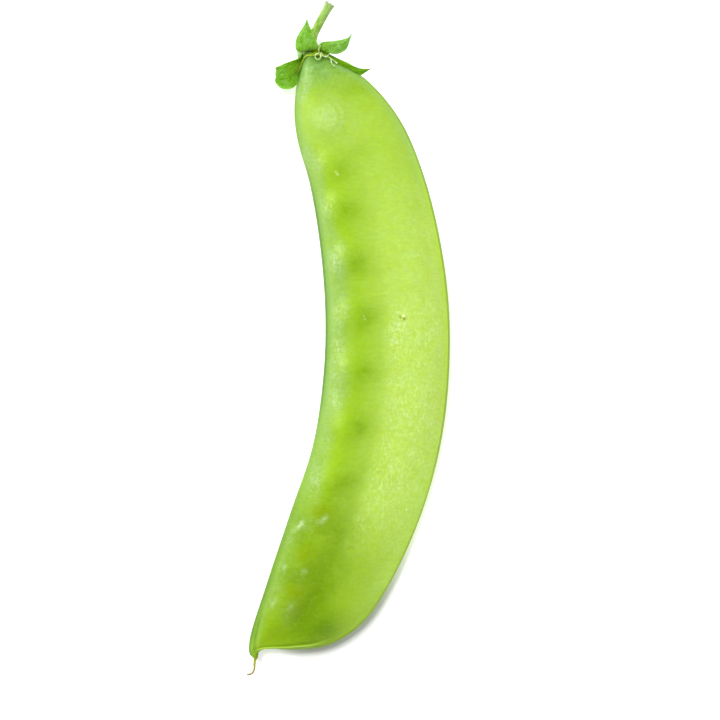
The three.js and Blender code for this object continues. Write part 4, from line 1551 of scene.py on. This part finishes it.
leaning = fibres.maths("MULTIPLY", by_side(LEAN_OPPOSITE, LEAN_TALL), fibres["Lean"])
loose = fibres.step(
    "FunctionNodeRandomValue", {"data_type": "FLOAT_VECTOR"}, in_0=[-side for side in LEAN_CHANCE],
    in_1=LEAN_CHANCE, Seed=fibres["Seed"],
).outputs[0]
way = fibres.vector("ADD", in_0=fibres["Along"], in_1=fibres.scaled(outward, leaning)).outputs[0]
way = fibres.vector("ADD", in_0=way, in_1=loose).outputs[0]
turn = fibres.step("FunctionNodeAlignRotationToVector", {"axis": "Z"}, Vector=way).outputs[0]
chance = fibres.step(
    "FunctionNodeRandomValue", {"data_type": "FLOAT"}, in_2=LENGTH_CHANCE[0], in_3=LENGTH_CHANCE[1],
    Seed=fibres["Seed"],
).outputs[1]
tall = fibres.maths("MULTIPLY", chance, by_side(LENGTH_OPPOSITE, LENGTH_TALL))
size = fibres.step("ShaderNodeCombineXYZ", X=1.0, Y=1.0, Z=tall).outputs[0]

# %% A pointed fibre stood on each point
FIBRE_TIP = 0.01 * MM

fibre = fibres.step(
    "GeometryNodeMeshCone", Vertices=6, Side_Segments=4, Radius_Top=FIBRE_TIP,
    Radius_Bottom=fibres["Thickness"], Depth=fibres["Length"],
).outputs["Mesh"]
stood = fibres.step("GeometryNodeInstanceOnPoints", Points=feet, Instance=fibre, Rotation=turn, Scale=size)
fibres.finish(stood.outputs[0], fibres["Material"])
print(fibres.group.name, "has", len(fibres.group.nodes), "nodes")

# %% The fibres, and the stalk joined with them
FIBRE_COUNT = 46
FIBRE_LENGTH = 0.5 * MM
FIBRE_THICKNESS = 0.06 * MM
FIBRE_SEED = 7
FIBRE_LEAN = 0.35
TALL_SIDE = Vector((-0.9, 0.3, 0.2))
FOOT_DEPTH = 0.12 * MM  # how far below the cut the fibres stand
RING_SIZE = 1.08  # of their ring, beside the stalk's radius

cut_end, before_end = (Vector(onto_solid(under_camera(STALK))[i] * MM) for i in (-1, -2))
stalk_way = (cut_end - before_end).normalized()
side_way = stalk_way.cross(Vector((0, 0, 1))).normalized()
up_way = side_way.cross(stalk_way)
rim_centre = cut_end - stalk_way * FOOT_DEPTH
rim_radius = STALK_RADIUS * RING_SIZE
turns = np.linspace(0, 2 * np.pi, 60)
rim_points = [rim_centre + rim_radius * (side_way * math.cos(t) + up_way * math.sin(t)) for t in turns]

paint = Paint("torn_fibre")
dryness = paint.noise(paint.place(), 0.3 * MM, detail=3)
colour = paint.ramp(dryness, [(0.35, (150, 172, 126)), (0.65, (214, 224, 200))])
paint.finish(
    Base_Color=colour, Roughness=0.5, Subsurface_Weight=0.2, Subsurface_Scale=0.3 * MM,
    Specular_IOR_Level=0.4,
)
torn = fibres.apply(
    path_object("torn_fibre_ring", rim_points), Count=FIBRE_COUNT, Centre=rim_centre, Along=stalk_way,
    Tall_Side=TALL_SIDE.normalized(), Length=FIBRE_LENGTH, Thickness=FIBRE_THICKNESS, Lean=FIBRE_LEAN,
    Seed=FIBRE_SEED, Material=paint.material,
)
print("torn fibres have", len(torn.data.polygons), "faces")
for made in (stalk, torn):
    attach(made, "root")
    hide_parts("pedicel")

# %% [markdown]
# ## The dried style and the stamen threads
#
# When the flower fell, the style stayed on the beak as a hooked brown thread, and bits of the
# stamens stayed at the collar, white and curled. Each one is drawn as its own path. They are flat
# and twisted, because they dried out, so the ring that is swept along them has only two ribs.

# %% The dried style at the beak
STYLE = [
    (-18.95, -64.1, 4.85), (-19.0, -64.75, 4.8), (-19.2, -65.3, 4.7), (-19.3, -66.2, 4.6),
    (-19.35, -67.1, 4.4), (-19.6, -67.8, 4.25), (-20.0, -68.2, 4.15), (-20.8, -68.4, 4.1),
]
STYLE_COLOURS = [  # from the beak to the dry end
    (0.0, (110, 150, 20)), (0.22, (150, 160, 30)), (0.6, (154, 150, 40)), (1.0, (112, 86, 28)),
]
STYLE_PATCHES = (192, 192, 64)

paint = Paint("dried_style")
along = paint.stored("along")
patches = paint.noise(paint.place(), 0.5 * MM, detail=3)
colour = paint.ramp(along, STYLE_COLOURS)
colour = paint.cover(colour, paint.spread(patches, 0.5, 0.7, 0.0, 0.6), STYLE_PATCHES)
paint.finish(Base_Color=colour, Roughness=0.6, Specular_IOR_Level=0.3)
style = grown(
    "dried_style_thread", STYLE, paint, Radius=0.28 * MM, End_Radius=0.15 * MM, Base_Flare=0.8, Ribs=3.0,
    Rib_Depth=0.16, Twist=5.0, Steps=110, Sides=36, Shrink=0.16 * MM, Lump=0.6 * MM,
)
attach(style, "root")
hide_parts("style")

# %% The stamen threads at the collar
THREADS = {
    "filament_upright": [
        (-5.95, 58.2, 8.1), (-6.1, 58.7, 8.7), (-6.17, 59.16, 9.2), (-6.1, 59.6, 9.5),
        (-5.84, 60.1, 9.65),
    ],
    "filament_loop": [
        (-5.95, 58.45, 8.2), (-6.55, 58.4, 8.5), (-6.9, 58.1, 8.7), (-6.86, 57.62, 8.8),
        (-6.5, 57.26, 8.8), (-6.02, 57.38, 8.75), (-5.76, 57.86, 8.6), (-5.86, 58.35, 8.4),
    ],
    "filament_wavy": [
        (-6.1, 58.5, 8.2), (-5.6, 58.52, 8.5), (-5.38, 58.12, 8.6), (-5.0, 57.86, 8.6),
        (-4.47, 57.92, 8.55), (-4.15, 58.25, 8.4),
    ],
    "filament_hanging_left": [
        (-4.6, 57.95, 8.0), (-4.27, 57.8, 8.2), (-3.92, 57.58, 8.3), (-3.68, 57.25, 8.3),
        (-3.62, 56.8, 8.25), (-3.43, 56.3, 8.2), (-3.02, 55.85, 8.1),
    ],
    "filament_hanging_right": [
        (-4.2, 57.75, 7.8), (-3.75, 57.47, 8.0), (-3.23, 57.14, 8.0), (-2.84, 56.8, 7.95),
        (-2.42, 56.45, 7.8),
    ],
    "filament_under_left": [
        (-7.6, 57.4, 2.3), (-8.0, 56.9, 2.0), (-7.8, 56.3, 1.6), (-8.1, 55.7, 1.3),
    ],
    "filament_under_right": [
        (-5.3, 57.4, 2.3), (-4.9, 56.8, 1.9), (-5.1, 56.2, 1.6), (-4.6, 55.6, 1.3),
    ],
}

# %% Their cream white, and the threads themselves
paint = Paint("dried_filament")
tint = paint.noise(paint.place(), 0.5 * MM, detail=2)
colour = paint.ramp(tint, [(0.36, (150, 190, 96)), (0.64, (220, 236, 186))])
paint.finish(
    Base_Color=colour, Roughness=0.55, Subsurface_Weight=0.2, Subsurface_Scale=0.3 * MM,
    Specular_IOR_Level=0.35,
)
for node, knots in THREADS.items():
    thread = grown(
        node + "_thread", knots, paint, Radius=0.115 * MM, End_Radius=0.1 * MM, End_Flare=0.3, Ribs=2.0,
        Rib_Depth=0.22, Twist=4.0, Shrink=0.08 * MM, Lump=0.4 * MM,
    )
    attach(thread, "root")
    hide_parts(node)
